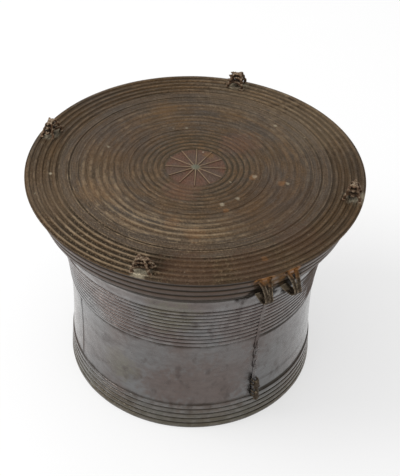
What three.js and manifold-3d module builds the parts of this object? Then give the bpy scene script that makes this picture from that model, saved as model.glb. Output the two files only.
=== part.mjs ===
// A bronze frog drum: a flat banded head on a waisted, open-bottomed mantle, with two pairs of
// forked strap handles under the rim, four stacks of frogs on it, and a file of snails and
// elephants walking down one side. Millimetres, +Z up, origin at the middle of the foot's rim plane.
// The front handles and the animals are on +X.

import * as THREE from 'three';
import { mergeVertices } from 'three/addons/utils/BufferGeometryUtils.js';
import Module from 'manifold-3d';

const wasm = await Module();
wasm.setup();

// Head
const HEAD_RADIUS = 320;
const HEAD_HEIGHT = 454;
const HEAD_THICKNESS = 3.5;
const STAR_DISC_RADIUS = 55;
const STAR_RAYS = 12;
const STAR_RAY_WIDTH = 2.5;
const STAR_RELIEF = 0.9;
const BOSS_RADIUS = 8;
const BOSS_RISE = 2;
const BAND_RELIEF = 1.1;
const RIM_ZONE_WIDTH = 61;
const RIM_RIDGES = 5;
const RIM_RELIEF = 1.8;

// Mantle. Drops are measured down from the head, insets in from its edge.
const WALL = 3.2;
const RIM_OVERHANG = 4;
const COLLAR_DEPTH = 70;
const COLLAR_TAPER = 25;
const COLLAR_RIDGES = 4;
const COLLAR_RELIEF = 1.8;
const NECK_DROP = 112;
const NECK_INSET = 54;
const NECK_SWEEP = 2.7;
const UNDERCUT_LEAN = 0.1;
const UNDERCUT_CLIMB = 0.8;
const RIB_ZONE_DROP = 125;
const RIB_COUNT = 10;
const RIB_PITCH = 10.5;
const RIB_RELIEF = 1.7;
const WAIST_INSET = 76.2;
const WAIST_HEIGHT = 150;
const FOOT_INSET = 69;
const FOOT_SWEEP = 1.5;
const FOOT_RIDGES = 5;
const FOOT_PITCH = 12.4;
const FOOT_RELIEF = 1.8;

// Handles
const HANDLE_PAIR_ANGLE = -0.6;
const HANDLE_SPACING = 58;
const HANDLE_REACH = 20;
const HANDLE_TOP_DROP = 18;
const HANDLE_CROWN_DROP = 46;
const HANDLE_BOTTOM_LIFT = 5;
const HANDLE_SHOULDER_SHARE = 0.75;
const HANDLE_ELBOW_SHARE = 0.65;
const STRAND_WIDTH = 10.4;
const STRAND_THICKNESS = 6;
const FORK_SPREAD = 20;
const STRAND_OVERLAP = 2;

// Frogs
// Set by hand, so not quite a quarter turn apart
const FROG_ANGLES = [-45.7, 46.4, 135.2, 222];
const FROG_INSET = 21;
const LOWER_FROG_LENGTH = 38;
const MIDDLE_FROG_LENGTH = 30;
const UPPER_FROG_LENGTH = 22;
const LOWER_FROG_RISE = 12.5;
const MIDDLE_FROG_RISE = 10;
const UPPER_FROG_RISE = 8.5;
const FROG_TILT = 0.15;

// Frog form: shares of a frog's length, then of its rise. The outline runs from tail to nose, as
// shares of the half breadth and of the half length.
const FROG_HALF_SHARE = 1 / 3;
const FROG_BREADTH_SHARE = 1 / 4;
const FROG_STANCE_SHARE = 0.5;
const FROG_SPLAY_SHARE = 0.26;
const FROG_THICK_SHARE = 0.28;
const FROG_LIMB_SHARE = 1 / 8;
const FROG_OUTLINE = [[0, -1], [0.8, -0.6], [1, 0], [0.75, 0.7], [0.85, 1], [0, 1.5]];
const FROG_BODY_SIDES = 8;
const FROG_LIMB_ROOT = { along: 0.5, out: 0.3 };
const FROG_ELBOW = { along: 0.85, out: 1.25, up: 0.5 };
const FROG_KNEE = { along: 0.6, out: 1.35, up: 0.8 };
const RIDER_STANCE_SHARE = 0.6;
const RIDER_SPLAY_SHARE = 0.5;
const RIDER_TUCK_SHARE = 0.35;

// Strip, animals and seams
const STRIP_ANGLE = 1.9;
const STRIP_WIDTH = 9;
const STRIP_THICKNESS = 1.6;
const SEAM_ANGLE = 90;
const SEAM_WIDTH = 4;
const SEAM_THICKNESS = 1.4;
const SNAIL_COUNT = 3;
const SNAIL_LENGTH_SHARE = 25.5;
const SNAIL_RADIUS = 5.2;
const SNAIL_WHORLS = 3;
const SNAIL_GROOVE = 0.72;
const SNAIL_LIP = 0.1;
const SNAIL_SEAT = 0.6;
const ELEPHANT_COUNT = 2;
const ELEPHANT_LENGTH_SHARE = 29;
const ELEPHANT_STAND = 15;
const PROCESSION_SPACE_SHARE = 20;
const PROCESSION_MARGIN = 14;
const PROCESSION_FOOT_LAP = 8;
const ANIMAL_GAP = 2;

// Elephant form: places along it and half lengths as shares of its length, tail side positive, and
// half widths as shares of its girth.
const ELEPHANT_GIRTH_SHARE = 0.36;
const ELEPHANT_BODY = { along: 0.1, length: 0.34, width: 1.15 };
const ELEPHANT_HEAD = { along: -0.28, length: 0.17, width: 0.8 };
const ELEPHANT_EAR = { length: 0.13, width: 0.5, thick: 0.25 };
const ELEPHANT_TRUNK = { knee: -0.44, tip: -0.46, thick: 0.35 };
const ELEPHANT_LEGS = { front: -0.1, hind: 0.32, thick: 0.36, splay: 1.1 };

// Clearance between touching pieces, and how fine the round faces are
const SEAT_GAP = 0.35;
// SEGMENTS divides by 4, so that a quarter turn lands on the same facets.
const SEGMENTS = 36;
const STRAND_SIDES = 6;
const STRAND_STEPS = 10;
const LIMB_SIDES = 4;
const LIMB_STEPS = 2;
const SNAIL_SIDES = 8;
const MERGE_TOLERANCE = 1e-4;

const bronze = (color, roughness) => new THREE.MeshStandardMaterial({ color, roughness, metalness: 0.9 });
const HEAD_BRONZE = bronze(0x5d5140, 0.55);
const WALL_BRONZE = bronze(0x5b5450, 0.42);
const CAST_BRONZE = bronze(0x4f4234, 0.6);

// Places that follow from the sizes
const HEAD_UNDERSIDE = HEAD_HEIGHT - HEAD_THICKNESS;
const MANTLE_TOP = HEAD_UNDERSIDE - SEAT_GAP;
const COLLAR_TOP_RADIUS = HEAD_RADIUS - RIM_OVERHANG;
const COLLAR_EDGE_RADIUS = COLLAR_TOP_RADIUS - COLLAR_TAPER;
const NECK_RADIUS = HEAD_RADIUS - NECK_INSET;
const WAIST_RADIUS = HEAD_RADIUS - WAIST_INSET;
const FOOT_RADIUS = HEAD_RADIUS - FOOT_INSET;
const COLLAR_EDGE = HEAD_HEIGHT - COLLAR_DEPTH;
const NECK_HEIGHT = HEAD_HEIGHT - NECK_DROP;
const RIB_TOP = HEAD_HEIGHT - RIB_ZONE_DROP;
const RIB_BOTTOM = RIB_TOP - RIB_COUNT * RIB_PITCH;
const FOOT_BAND_TOP = FOOT_RIDGES * FOOT_PITCH;

// Mesh helpers

function toSolid(geometry) {
  const bare = geometry.clone();
  bare.deleteAttribute('normal');
  bare.deleteAttribute('uv');
  const merged = mergeVertices(bare, MERGE_TOLERANCE);
  const corners = merged.index.array;
  const triVerts = [];
  for (let i = 0; i < corners.length; i += 3) {
    const [a, b, c] = [corners[i], corners[i + 1], corners[i + 2]];
    if (a !== b && b !== c && c !== a) triVerts.push(a, b, c);
  }
  return new wasm.Manifold(new wasm.Mesh({
    numProp: 3,
    vertProperties: Float32Array.from(merged.attributes.position.array),
    triVerts: Uint32Array.from(triVerts),
  }));
}

function toGeometry(solid) {
  const { vertProperties, triVerts } = solid.getMesh();
  const geometry = new THREE.BufferGeometry();
  geometry.setAttribute('position', new THREE.BufferAttribute(vertProperties, 3));
  geometry.setIndex(new THREE.BufferAttribute(triVerts, 1));
  return geometry;
}

function fuse(solids) {
  return solids.reduce((whole, next) => whole.add(next));
}

function turnedBy(degrees, solid) {
  const geometry = toGeometry(solid);
  geometry.rotateZ(THREE.MathUtils.degToRad(degrees));
  return toSolid(geometry);
}

// A form turned about Z from [radius, height] points, listed bottom to top along the outside.
function turning(points, segments) {
  const profile = points.map(([radius, height]) => new THREE.Vector2(radius, height));
  const geometry = new THREE.LatheGeometry(profile, segments);
  geometry.rotateX(Math.PI / 2);
  return geometry;
}

function turned(points) {
  return toSolid(turning(points, SEGMENTS));
}

function ball(centre, radii, columns = 6, rows = 4) {
  const geometry = new THREE.SphereGeometry(1, columns, rows);
  geometry.rotateX(Math.PI / 2);
  geometry.scale(...radii);
  geometry.translate(...centre);
  return toSolid(geometry);
}

function roundSection(radius, sides, flatness) {
  const corner = (i) => {
    const turn = (2 * Math.PI * i) / sides;
    return new THREE.Vector2(radius * Math.cos(turn), radius * flatness * Math.sin(turn));
  };
  return new THREE.Shape(Array.from({ length: sides }, (_, i) => corner(i)));
}

// A bar along a smooth curve through [x, y, z] points: round, or flattened to a strap whose width
// lies across the plane that the curve bends in.
function bar(points, radius, sides, steps, flatness = 1) {
  const path = new THREE.CatmullRomCurve3(points.map((point) => new THREE.Vector3(...point)));
  const section = roundSection(radius, sides, flatness);
  return toSolid(new THREE.ExtrudeGeometry(section, { steps, extrudePath: path }));
}

function block(lowest, highest) {
  const size = highest.map((value, i) => value - lowest[i]);
  const geometry = new THREE.BoxGeometry(...size);
  geometry.translate(...lowest.map((value, i) => value + size[i] / 2));
  return toSolid(geometry);
}

// Head profile: ridged zones between the star disc and the rim. Each zone of the field has a
// number of bands and the share of the field that one band takes.
const FIELD_ZONES = [
  { bands: 6, share: 11, ridged: true },
  { bands: 1, share: 17.5, ridged: false },
  { bands: 3, share: 12.2, ridged: true },
  { bands: 3, share: 14.3, ridged: true },
  { bands: 1, share: 19, ridged: false },
  { bands: 1, share: 22, ridged: false },
];

function headTop() {
  const fieldEdge = HEAD_RADIUS - RIM_ZONE_WIDTH;
  const shares = FIELD_ZONES.reduce((sum, zone) => sum + zone.bands * zone.share, 0);
  const unit = (fieldEdge - STAR_DISC_RADIUS) / shares;
  const points = [[STAR_DISC_RADIUS, HEAD_HEIGHT]];
  let radius = STAR_DISC_RADIUS;
  for (const zone of FIELD_ZONES) {
    const width = zone.share * unit;
    for (let band = 0; band < zone.bands; band += 1) {
      if (zone.ridged) {
        points.push([radius + width / 2, HEAD_HEIGHT + BAND_RELIEF]);
      } else {
        points.push([radius + BAND_RELIEF, HEAD_HEIGHT + BAND_RELIEF]);
        points.push([radius + width - BAND_RELIEF, HEAD_HEIGHT + BAND_RELIEF]);
      }
      radius += width;
      points.push([radius, HEAD_HEIGHT]);
    }
  }
  const ridge = RIM_ZONE_WIDTH / RIM_RIDGES;
  for (let i = 0; i < RIM_RIDGES; i += 1) {
    points.push([fieldEdge + (i + 0.5) * ridge, HEAD_HEIGHT + RIM_RELIEF]);
    points.push([fieldEdge + (i + 1) * ridge, HEAD_HEIGHT]);
  }
  return points;
}

// The head between its relief, raised by a margin, and a given underside. A raised and deepened
// one cuts what stands on the head.
function headSolid(raise = 0, underside = HEAD_UNDERSIDE) {
  const top = headTop().map(([radius, height]) => [radius, height + raise]);
  return turned([[0, underside], [HEAD_RADIUS, underside], ...top.reverse(), [0, HEAD_HEIGHT + raise]]);
}

function starAndBoss() {
  const tip = STAR_DISC_RADIUS - STAR_RAY_WIDTH;
  const outline = new THREE.Shape();
  for (let i = 0; i < 2 * STAR_RAYS; i += 1) {
    const turn = (Math.PI * i) / STAR_RAYS;
    const reach = i % 2 === 0 ? tip : BOSS_RADIUS + STAR_RAY_WIDTH;
    const point = [reach * Math.cos(turn), reach * Math.sin(turn)];
    if (i === 0) outline.moveTo(...point);
    else outline.lineTo(...point);
  }
  outline.closePath();
  const root = HEAD_THICKNESS / 2;
  const rays = new THREE.ExtrudeGeometry(outline, { depth: root + STAR_RELIEF, bevelEnabled: false });
  rays.translate(0, 0, HEAD_HEIGHT - root);
  const boss = ball([0, 0, HEAD_HEIGHT], [BOSS_RADIUS, BOSS_RADIUS, BOSS_RISE], 12, 6);
  return toSolid(rays).add(boss);
}

// Mantle profile: a smooth wall from the foot through the waist to the neck, an undercut, and a
// tapered collar that carries the head.

function wallRadius(height) {
  if (height < WAIST_HEIGHT) {
    return WAIST_RADIUS + (FOOT_RADIUS - WAIST_RADIUS) * (1 - height / WAIST_HEIGHT) ** FOOT_SWEEP;
  }
  const climb = (height - WAIST_HEIGHT) / (NECK_HEIGHT - WAIST_HEIGHT);
  return WAIST_RADIUS + (NECK_RADIUS - WAIST_RADIUS) * climb ** NECK_SWEEP;
}

function collarRadius(height) {
  return COLLAR_EDGE_RADIUS + (COLLAR_TAPER * (height - COLLAR_EDGE)) / (MANTLE_TOP - COLLAR_EDGE);
}

const undercut = new THREE.QuadraticBezierCurve(
  new THREE.Vector2(NECK_RADIUS, NECK_HEIGHT),
  new THREE.Vector2(
    THREE.MathUtils.lerp(NECK_RADIUS, COLLAR_EDGE_RADIUS, UNDERCUT_LEAN),
    THREE.MathUtils.lerp(NECK_HEIGHT, COLLAR_EDGE, UNDERCUT_CLIMB),
  ),
  new THREE.Vector2(COLLAR_EDGE_RADIUS, COLLAR_EDGE),
);
const undercutPoints = (count) => undercut.getPoints(count).map(({ x, y }) => [x, y]);

// Ridges on a stretch of wall: a valley at each end, a crest halfway between.
function ridgedStretch(radiusAt, bottom, top, count, relief) {
  const pitch = (top - bottom) / count;
  const points = [[radiusAt(bottom), bottom]];
  for (let i = 0; i < count; i += 1) {
    const crest = bottom + (i + 0.5) * pitch;
    const valley = bottom + (i + 1) * pitch;
    points.push([radiusAt(crest) + relief, crest], [radiusAt(valley), valley]);
  }
  return points;
}

const UPPER_WAIST = (WAIST_HEIGHT + RIB_BOTTOM) / 2;
const OUTER_WALL = [
  ...ridgedStretch(wallRadius, 0, FOOT_BAND_TOP, FOOT_RIDGES, FOOT_RELIEF),
  [WAIST_RADIUS, WAIST_HEIGHT],
  [wallRadius(UPPER_WAIST), UPPER_WAIST],
  ...ridgedStretch(wallRadius, RIB_BOTTOM, RIB_TOP, RIB_COUNT, RIB_RELIEF),
  ...undercutPoints(4).slice(0, -1),
  ...ridgedStretch(collarRadius, COLLAR_EDGE, MANTLE_TOP, COLLAR_RIDGES, COLLAR_RELIEF),
];

function innerWall() {
  const heights = [(RIB_TOP + RIB_BOTTOM) / 2, RIB_BOTTOM, WAIST_HEIGHT, 0];
  return [
    [COLLAR_TOP_RADIUS - WALL, MANTLE_TOP],
    ...undercutPoints(2).reverse().map(([radius, height]) => [radius - WALL, height + WALL]),
    ...heights.map((height) => [wallRadius(height) - WALL, height]),
  ];
}

function mantleSolid() {
  return turned([...OUTER_WALL, ...innerWall(), OUTER_WALL[0]]);
}

// The mantle's outside, filled to the axis and swollen by a margin, for cutting what sits on it.
function wallCore(swell) {
  const outside = OUTER_WALL.map(([radius, height]) => [radius + swell, height]);
  return turned([[0, 0], ...outside, [0, MANTLE_TOP]]);
}

// A handle in its own radial plane: two flat strands, apart at the upper root and side by side
// from the crown down to the lower root at the collar's edge.
function handleSolid() {
  const { lerp } = THREE.MathUtils;
  const topRoot = HEAD_HEIGHT - HANDLE_TOP_DROP;
  const crown = HEAD_HEIGHT - HANDLE_CROWN_DROP;
  const bottomRoot = COLLAR_EDGE + HANDLE_BOTTOM_LIFT;
  const crownRadius = HEAD_RADIUS + HANDLE_REACH - STRAND_THICKNESS / 2;
  const shoulder = lerp(crown, topRoot, HANDLE_SHOULDER_SHARE);
  const elbow = lerp(crown, bottomRoot, HANDLE_ELBOW_SHARE);
  const forked = FORK_SPREAD / 2;
  const joined = (STRAND_WIDTH - STRAND_OVERLAP) / 2;
  const strand = (side) => bar([
    [collarRadius(topRoot) - STRAND_THICKNESS, side * forked, topRoot],
    [
      lerp(collarRadius(topRoot), crownRadius, HANDLE_SHOULDER_SHARE),
      side * lerp(joined, forked, HANDLE_SHOULDER_SHARE),
      shoulder,
    ],
    [crownRadius, side * joined, crown],
    [lerp(collarRadius(bottomRoot), crownRadius, HANDLE_ELBOW_SHARE), side * joined, elbow],
    [collarRadius(bottomRoot) - STRAND_THICKNESS, side * joined, bottomRoot],
  ], STRAND_WIDTH / 2, STRAND_SIDES, STRAND_STEPS, STRAND_THICKNESS / STRAND_WIDTH);
  return strand(1).add(strand(-1));
}

// A frog facing +X over the origin: a flat turned body that narrows at the neck, tilted nose up,
// on four bent legs. Its feet stand at the given reach fore and aft and splay to the sides. They
// run on below, tucked in by a share of the splay, to be cut off at what they stand on.
function frogSolid({ length, rise, base, reach, splay, tuck, footEnd }, swell = 0) {
  const { half, breadth, thick, backbone } = frogBody({ length, rise, base });
  const limb = rise * FROG_LIMB_SHARE + swell;
  const body = turning(FROG_OUTLINE.map(([out, along]) => [out, along * half]), FROG_BODY_SIDES);
  body.scale(breadth + swell, thick + swell, 1 + swell / half);
  body.rotateX(Math.PI / 2);
  body.rotateZ(Math.PI / 2);
  body.rotateY(-FROG_TILT);
  body.translate(0, 0, backbone);
  const pieces = [toSolid(body)];
  for (const side of [1, -1]) {
    for (const [end, bend] of [[1, FROG_ELBOW], [-1, FROG_KNEE]]) {
      pieces.push(bar([
        [end * half * FROG_LIMB_ROOT.along, side * breadth * FROG_LIMB_ROOT.out, backbone],
        [end * reach * bend.along, side * splay * bend.out, base + rise * bend.up],
        [end * reach, side * splay * tuck, footEnd + end * reach * FROG_TILT],
      ], limb, LIMB_SIDES, LIMB_STEPS));
    }
  }
  return fuse(pieces);
}

function frogBody({ length, rise, base }) {
  const thick = rise * FROG_THICK_SHARE;
  return {
    half: length * FROG_HALF_SHARE,
    breadth: length * FROG_BREADTH_SHARE,
    thick,
    backbone: base + rise - thick,
  };
}

// The three frogs of a stack at an angle round the rim, each cut to sit on what is under it.
function frogStack(angle) {
  const lower = {
    length: LOWER_FROG_LENGTH,
    rise: LOWER_FROG_RISE,
    base: HEAD_HEIGHT,
    reach: LOWER_FROG_LENGTH * FROG_STANCE_SHARE,
    splay: LOWER_FROG_LENGTH * FROG_SPLAY_SHARE,
    tuck: 1,
    footEnd: HEAD_UNDERSIDE,
  };
  const rider = (mount, length, rise) => ({
    length,
    rise,
    base: mount.base + mount.rise,
    reach: frogBody(mount).half * RIDER_STANCE_SHARE,
    splay: frogBody(mount).breadth * RIDER_SPLAY_SHARE,
    tuck: RIDER_TUCK_SHARE,
    footEnd: frogBody(mount).backbone,
  });
  const middle = rider(lower, MIDDLE_FROG_LENGTH, MIDDLE_FROG_RISE);
  const upper = rider(middle, UPPER_FROG_LENGTH, UPPER_FROG_RISE);
  const onRim = (solid) => {
    const geometry = toGeometry(solid);
    geometry.rotateZ(Math.PI / 2);
    geometry.translate(HEAD_RADIUS - FROG_INSET, 0, 0);
    geometry.rotateZ(THREE.MathUtils.degToRad(angle));
    return geometry;
  };
  const headSeat = headSolid(SEAT_GAP, HEAD_UNDERSIDE - LOWER_FROG_RISE);
  return {
    lower: toGeometry(toSolid(onRim(frogSolid(lower))).subtract(headSeat)),
    middle: onRim(frogSolid(middle).subtract(frogSolid(lower, SEAT_GAP))),
    upper: onRim(frogSolid(upper).subtract(frogSolid(middle, SEAT_GAP))),
  };
}

// A slice of the wall's core between two heights, at an angle round the drum, standing proud of the
// wall by a thickness. What it has outside the wall is a raised band.
function wallSlice({ angle, width, thickness, bottom, top }) {
  const slab = block([WAIST_RADIUS / 2, -width / 2, bottom], [HEAD_RADIUS, width / 2, top]);
  return turnedBy(angle, slab).intersect(wallCore(SEAT_GAP + thickness));
}

function wallBand(band) {
  return wallSlice(band).subtract(wallCore(SEAT_GAP));
}

const STRIP = {
  angle: STRIP_ANGLE,
  width: STRIP_WIDTH,
  thickness: STRIP_THICKNESS,
  bottom: FOOT_BAND_TOP - PROCESSION_FOOT_LAP,
  top: NECK_HEIGHT,
};

const SEAM = {
  angle: 0,
  width: SEAM_WIDTH,
  thickness: SEAM_THICKNESS,
  bottom: FOOT_BAND_TOP + SEAM_WIDTH,
  top: RIB_BOTTOM - SEAM_WIDTH,
};

// What the animals stand on: the wall and the strip, each swollen by the clearance.
function processionSeat() {
  const strip = wallSlice({
    ...STRIP,
    width: STRIP.width + 2 * SEAT_GAP,
    thickness: STRIP.thickness + SEAT_GAP,
    bottom: STRIP.bottom - SEAT_GAP,
  });
  return wallCore(SEAT_GAP).add(strip);
}

// A turned spiral shell, lying along the slope of the wall with its point up.
function snailSolid(centreHeight, length) {
  const whorl = length / SNAIL_WHORLS;
  const profile = [[0, 0]];
  for (let i = 0; i < SNAIL_WHORLS; i += 1) {
    const fullness = SNAIL_RADIUS * (1 - i / (SNAIL_WHORLS + 1));
    profile.push([fullness * SNAIL_GROOVE, (i + SNAIL_LIP) * whorl], [fullness, (i + 0.5) * whorl]);
  }
  profile.push([0, length]);
  const shell = turning(profile, SNAIL_SIDES);
  const bottom = centreHeight - length / 2;
  shell.rotateY(Math.atan2(wallRadius(bottom + length) - wallRadius(bottom), length));
  shell.translate(wallRadius(bottom) + STRIP_THICKNESS + SNAIL_RADIUS * SNAIL_SEAT, 0, bottom);
  return toSolid(shell);
}

// An elephant walking head down, its feet towards the wall.
function elephantSolid(centreHeight, length) {
  const wall = wallRadius(centreHeight) + STRIP_THICKNESS;
  const girth = ELEPHANT_STAND * ELEPHANT_GIRTH_SHARE;
  const belly = wall + ELEPHANT_STAND - girth;
  const heightAt = (share) => centreHeight + length * share;
  const headHeight = heightAt(ELEPHANT_HEAD.along);
  const lump = (form, girthShare, side, height) => ball(
    [belly, side * girth, height],
    [girth * girthShare, girth * form.width, length * form.length],
  );
  const pieces = [
    lump(ELEPHANT_BODY, 1, 0, heightAt(ELEPHANT_BODY.along)),
    lump(ELEPHANT_HEAD, 1, 0, headHeight),
    bar([
      [belly, 0, headHeight],
      [belly, 0, heightAt(ELEPHANT_TRUNK.knee)],
      [(belly + wall) / 2, 0, heightAt(ELEPHANT_TRUNK.tip)],
    ], girth * ELEPHANT_TRUNK.thick, LIMB_SIDES, LIMB_STEPS),
  ];
  for (const side of [1, -1]) {
    pieces.push(lump(ELEPHANT_EAR, ELEPHANT_EAR.thick, side, headHeight));
    for (const along of [ELEPHANT_LEGS.front, ELEPHANT_LEGS.hind]) {
      const splayed = side * girth * ELEPHANT_LEGS.splay;
      pieces.push(bar([
        [belly, side * girth / 2, heightAt(along)],
        [(belly + wall) / 2, splayed, heightAt(along)],
        [wall - 2 * STRIP_THICKNESS, splayed, heightAt(along)],
      ], girth * ELEPHANT_LEGS.thick, LIMB_SIDES, LIMB_STEPS));
    }
  }
  return fuse(pieces);
}

// The file of animals: snails first, a space, then elephants, down from the ribs to the foot.
function animals() {
  const runTop = RIB_BOTTOM - PROCESSION_MARGIN;
  const snailShares = SNAIL_COUNT * SNAIL_LENGTH_SHARE;
  const elephantShares = ELEPHANT_COUNT * ELEPHANT_LENGTH_SHARE;
  const unit = (runTop - STRIP.bottom) / (snailShares + PROCESSION_SPACE_SHARE + elephantShares);
  const seat = processionSeat();
  const file = [];
  let height = runTop;
  const add = (count, share, name, model) => {
    for (let i = 1; i <= count; i += 1) {
      const berth = share * unit;
      const animal = turnedBy(STRIP_ANGLE, model(height - berth / 2, berth - ANIMAL_GAP));
      file.push({ name: `${name}_${i}`, geometry: toGeometry(animal.subtract(seat)) });
      height -= berth;
    }
  };
  add(SNAIL_COUNT, SNAIL_LENGTH_SHARE, 'snail', snailSolid);
  height -= PROCESSION_SPACE_SHARE * unit;
  add(ELEPHANT_COUNT, ELEPHANT_LENGTH_SHARE, 'elephant', elephantSolid);
  return file;
}

// Assembly

const drum = new THREE.Group();

function place(name, geometry, material, turnDegrees = 0) {
  const mesh = new THREE.Mesh(geometry, material);
  mesh.name = name;
  mesh.rotation.z = THREE.MathUtils.degToRad(turnDegrees);
  drum.add(mesh);
}

place('tympanum', toGeometry(headSolid().add(starAndBoss())), HEAD_BRONZE);
place('mantle', toGeometry(mantleSolid()), WALL_BRONZE);

const handleStep = THREE.MathUtils.radToDeg(HANDLE_SPACING / (HEAD_RADIUS + HANDLE_REACH));
for (const [side, offset] of [['left', -handleStep / 2], ['right', handleStep / 2]]) {
  const inPlace = turnedBy(HANDLE_PAIR_ANGLE + offset, handleSolid());
  const seated = toGeometry(inPlace.subtract(wallCore(SEAT_GAP)));
  place(`handle_front_${side}`, seated, CAST_BRONZE);
  place(`handle_rear_${side}`, seated, CAST_BRONZE, 180);
}

FROG_ANGLES.forEach((angle, i) => {
  for (const [tier, geometry] of Object.entries(frogStack(angle))) {
    place(`frog_${i + 1}_${tier}`, geometry, CAST_BRONZE);
  }
});

place('animal_strip', toGeometry(wallBand(STRIP)), CAST_BRONZE);
for (const { name, geometry } of animals()) place(name, geometry, CAST_BRONZE);

const seam = toGeometry(wallBand(SEAM));
place('seam_left', seam, WALL_BRONZE, -SEAM_ANGLE);
place('seam_right', seam, WALL_BRONZE, SEAM_ANGLE);

export default drum;
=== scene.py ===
import math
from functools import reduce
from itertools import pairwise
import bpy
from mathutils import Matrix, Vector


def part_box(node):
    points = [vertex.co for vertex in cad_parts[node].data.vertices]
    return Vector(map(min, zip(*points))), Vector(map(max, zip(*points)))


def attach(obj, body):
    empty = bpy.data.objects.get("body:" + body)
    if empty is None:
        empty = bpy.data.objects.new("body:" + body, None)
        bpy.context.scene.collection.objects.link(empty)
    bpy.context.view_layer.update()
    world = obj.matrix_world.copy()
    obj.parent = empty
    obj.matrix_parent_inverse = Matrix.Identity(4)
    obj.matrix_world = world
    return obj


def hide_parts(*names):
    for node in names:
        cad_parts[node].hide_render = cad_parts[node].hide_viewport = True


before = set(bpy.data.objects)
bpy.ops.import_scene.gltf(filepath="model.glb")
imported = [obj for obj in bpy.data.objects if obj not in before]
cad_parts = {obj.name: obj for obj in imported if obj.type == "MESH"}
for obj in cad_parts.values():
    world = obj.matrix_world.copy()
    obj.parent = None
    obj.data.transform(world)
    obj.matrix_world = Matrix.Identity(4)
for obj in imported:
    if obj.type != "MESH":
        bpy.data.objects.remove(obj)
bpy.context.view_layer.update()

from types import SimpleNamespace

import bpy
import numpy as np
from bpy.props import FloatProperty, FloatVectorProperty, PointerProperty
from mathutils import Matrix, Vector
from mathutils.geometry import interpolate_bezier

bl_info = {
    "name": "Bronze Frog Drum",
    "version": (1, 0, 0),
    "blender": (4, 5, 0),
    "location": "View3D > Sidebar > Drum",
    "description": "Models and finishes a bronze frog drum round its packed frame",
    "category": "Add Mesh",
}

BODY = "root"
MM = 0.001
TURN = 2 * math.pi
WHITE = (1.0, 1.0, 1.0, 1.0)

# Counts and fineness
SPIN_STEPS = 240
STAR_RAYS = 12
RIM_RIDGES = 5
COLLAR_RIDGES = 4
RIB_COUNT = 10
FOOT_RIDGES = 5
SNAIL_TURNS = 6
COIL_STEPS = 24
PLAIT_CORDS = 3

# Places round the drum, in degrees
FROG_ANGLES = (-45.7, 46.4, 135.2, 222.0)
STACK_HEIGHTS = (0.8, 1.0, 1.0, 0.96)
HANDLE_ANGLES = {
    "handle_front_left": -5.487, "handle_front_right": 4.287,
    "handle_rear_left": 174.513, "handle_rear_right": 184.287,
}
STRIP_ANGLE = 1.9
SEAM_ANGLES = {"seam_left": -90.0, "seam_right": 90.0}

# Lines that the legs of a stack of frogs follow: millimetres along and across at the rim and at the top
FRONT_LEGS = ((20, 11), (8.5, 4))
HIND_LEGS = ((-12, 15), (-5, 5))

# Degrees where painted shade and highlights are strongest: on the head, on its belt and on the wall's
# grooves
PAINTED_LIGHT_ANGLE = -62.0
PAINTED_BELT_ANGLE = -46.0
SHADED_SIDE_ANGLE = 45.0

# Belts of the head, as shares of its radius: where each begins, is full, begins to fade and ends
# The grey belt is patina; the glint belt carries painted glints, and the last belt painted highlights and
# shade
GREY_BELT = (0.63, 0.68, 0.78, 0.84)
GLINT_BELT = (0.45, 0.52, 0.65, 0.7)
PAINTED_LIGHT_BELT = (0.5, 0.56, 0.63, 0.66)

# The file of animals from the top down: node, share of the run, and whether it is an elephant
PROCESSION = (
    ("snail_1", 25.5, False), ("snail_2", 25.5, False), ("snail_3", 25.5, False), (None, 20.0, False),
    ("elephant_1", 29.0, True), ("elephant_2", 29.0, True),
)

# Relief values that the meshes carry: 0 in a groove, 1 on a crest, less in black lines and at the feet of
# the star's rays, where they paint shade, and more on forms that stand up by themselves
SUNK = -1.5
INSIDE = 0.3
SHALLOW = 0.36
HALFWAY = 0.5
PLAIN_WALL = 0.62
CREST = 1.0
STANDING = 2.0

# Bands of the head between the star disc and the rim: how many, the share of the field that one
# takes, whether it is a round ridge or a flat band, and the relief value of its grooves
FIELD_ZONES = (
    (6, 11.0, True, SHALLOW), (1, 17.5, False, SHALLOW), (3, 12.2, True, SHALLOW),
    (3, 14.3, True, SHALLOW), (1, 19.0, False, SHALLOW), (1, 22.0, False, SUNK),
)

# Sections of a ridge, as (share of its width, share of its relief)
ROUND_RIDGE = (
    (0.0, 0.0), (0.13, 0.0), (0.2, 0.45), (0.3, 0.9), (0.5, 1.0), (0.7, 0.9), (0.8, 0.45), (0.87, 0.0),
)
RIM_RIDGE = (
    (0.0, 0.0), (0.2, 0.0), (0.27, 0.6), (0.34, 0.95), (0.5, 1.0), (0.66, 0.95), (0.73, 0.6), (0.8, 0.0),
)
FLAT_RIDGE = (
    (0.0, 0.0), (0.12, 0.0), (0.18, 0.7), (0.25, 1.0), (0.5, 1.04), (0.75, 1.0), (0.82, 0.7), (0.88, 0.0),
)
BROAD_BAND = (
    (0.0, 0.0), (0.05, 0.0), (0.09, 0.9), (0.13, 1.0), (0.19, 0.9), (0.22, 0.35),
    (0.5, 0.4), (0.78, 0.35), (0.81, 0.9), (0.87, 1.0), (0.91, 0.9), (0.95, 0.0),
)
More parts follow.
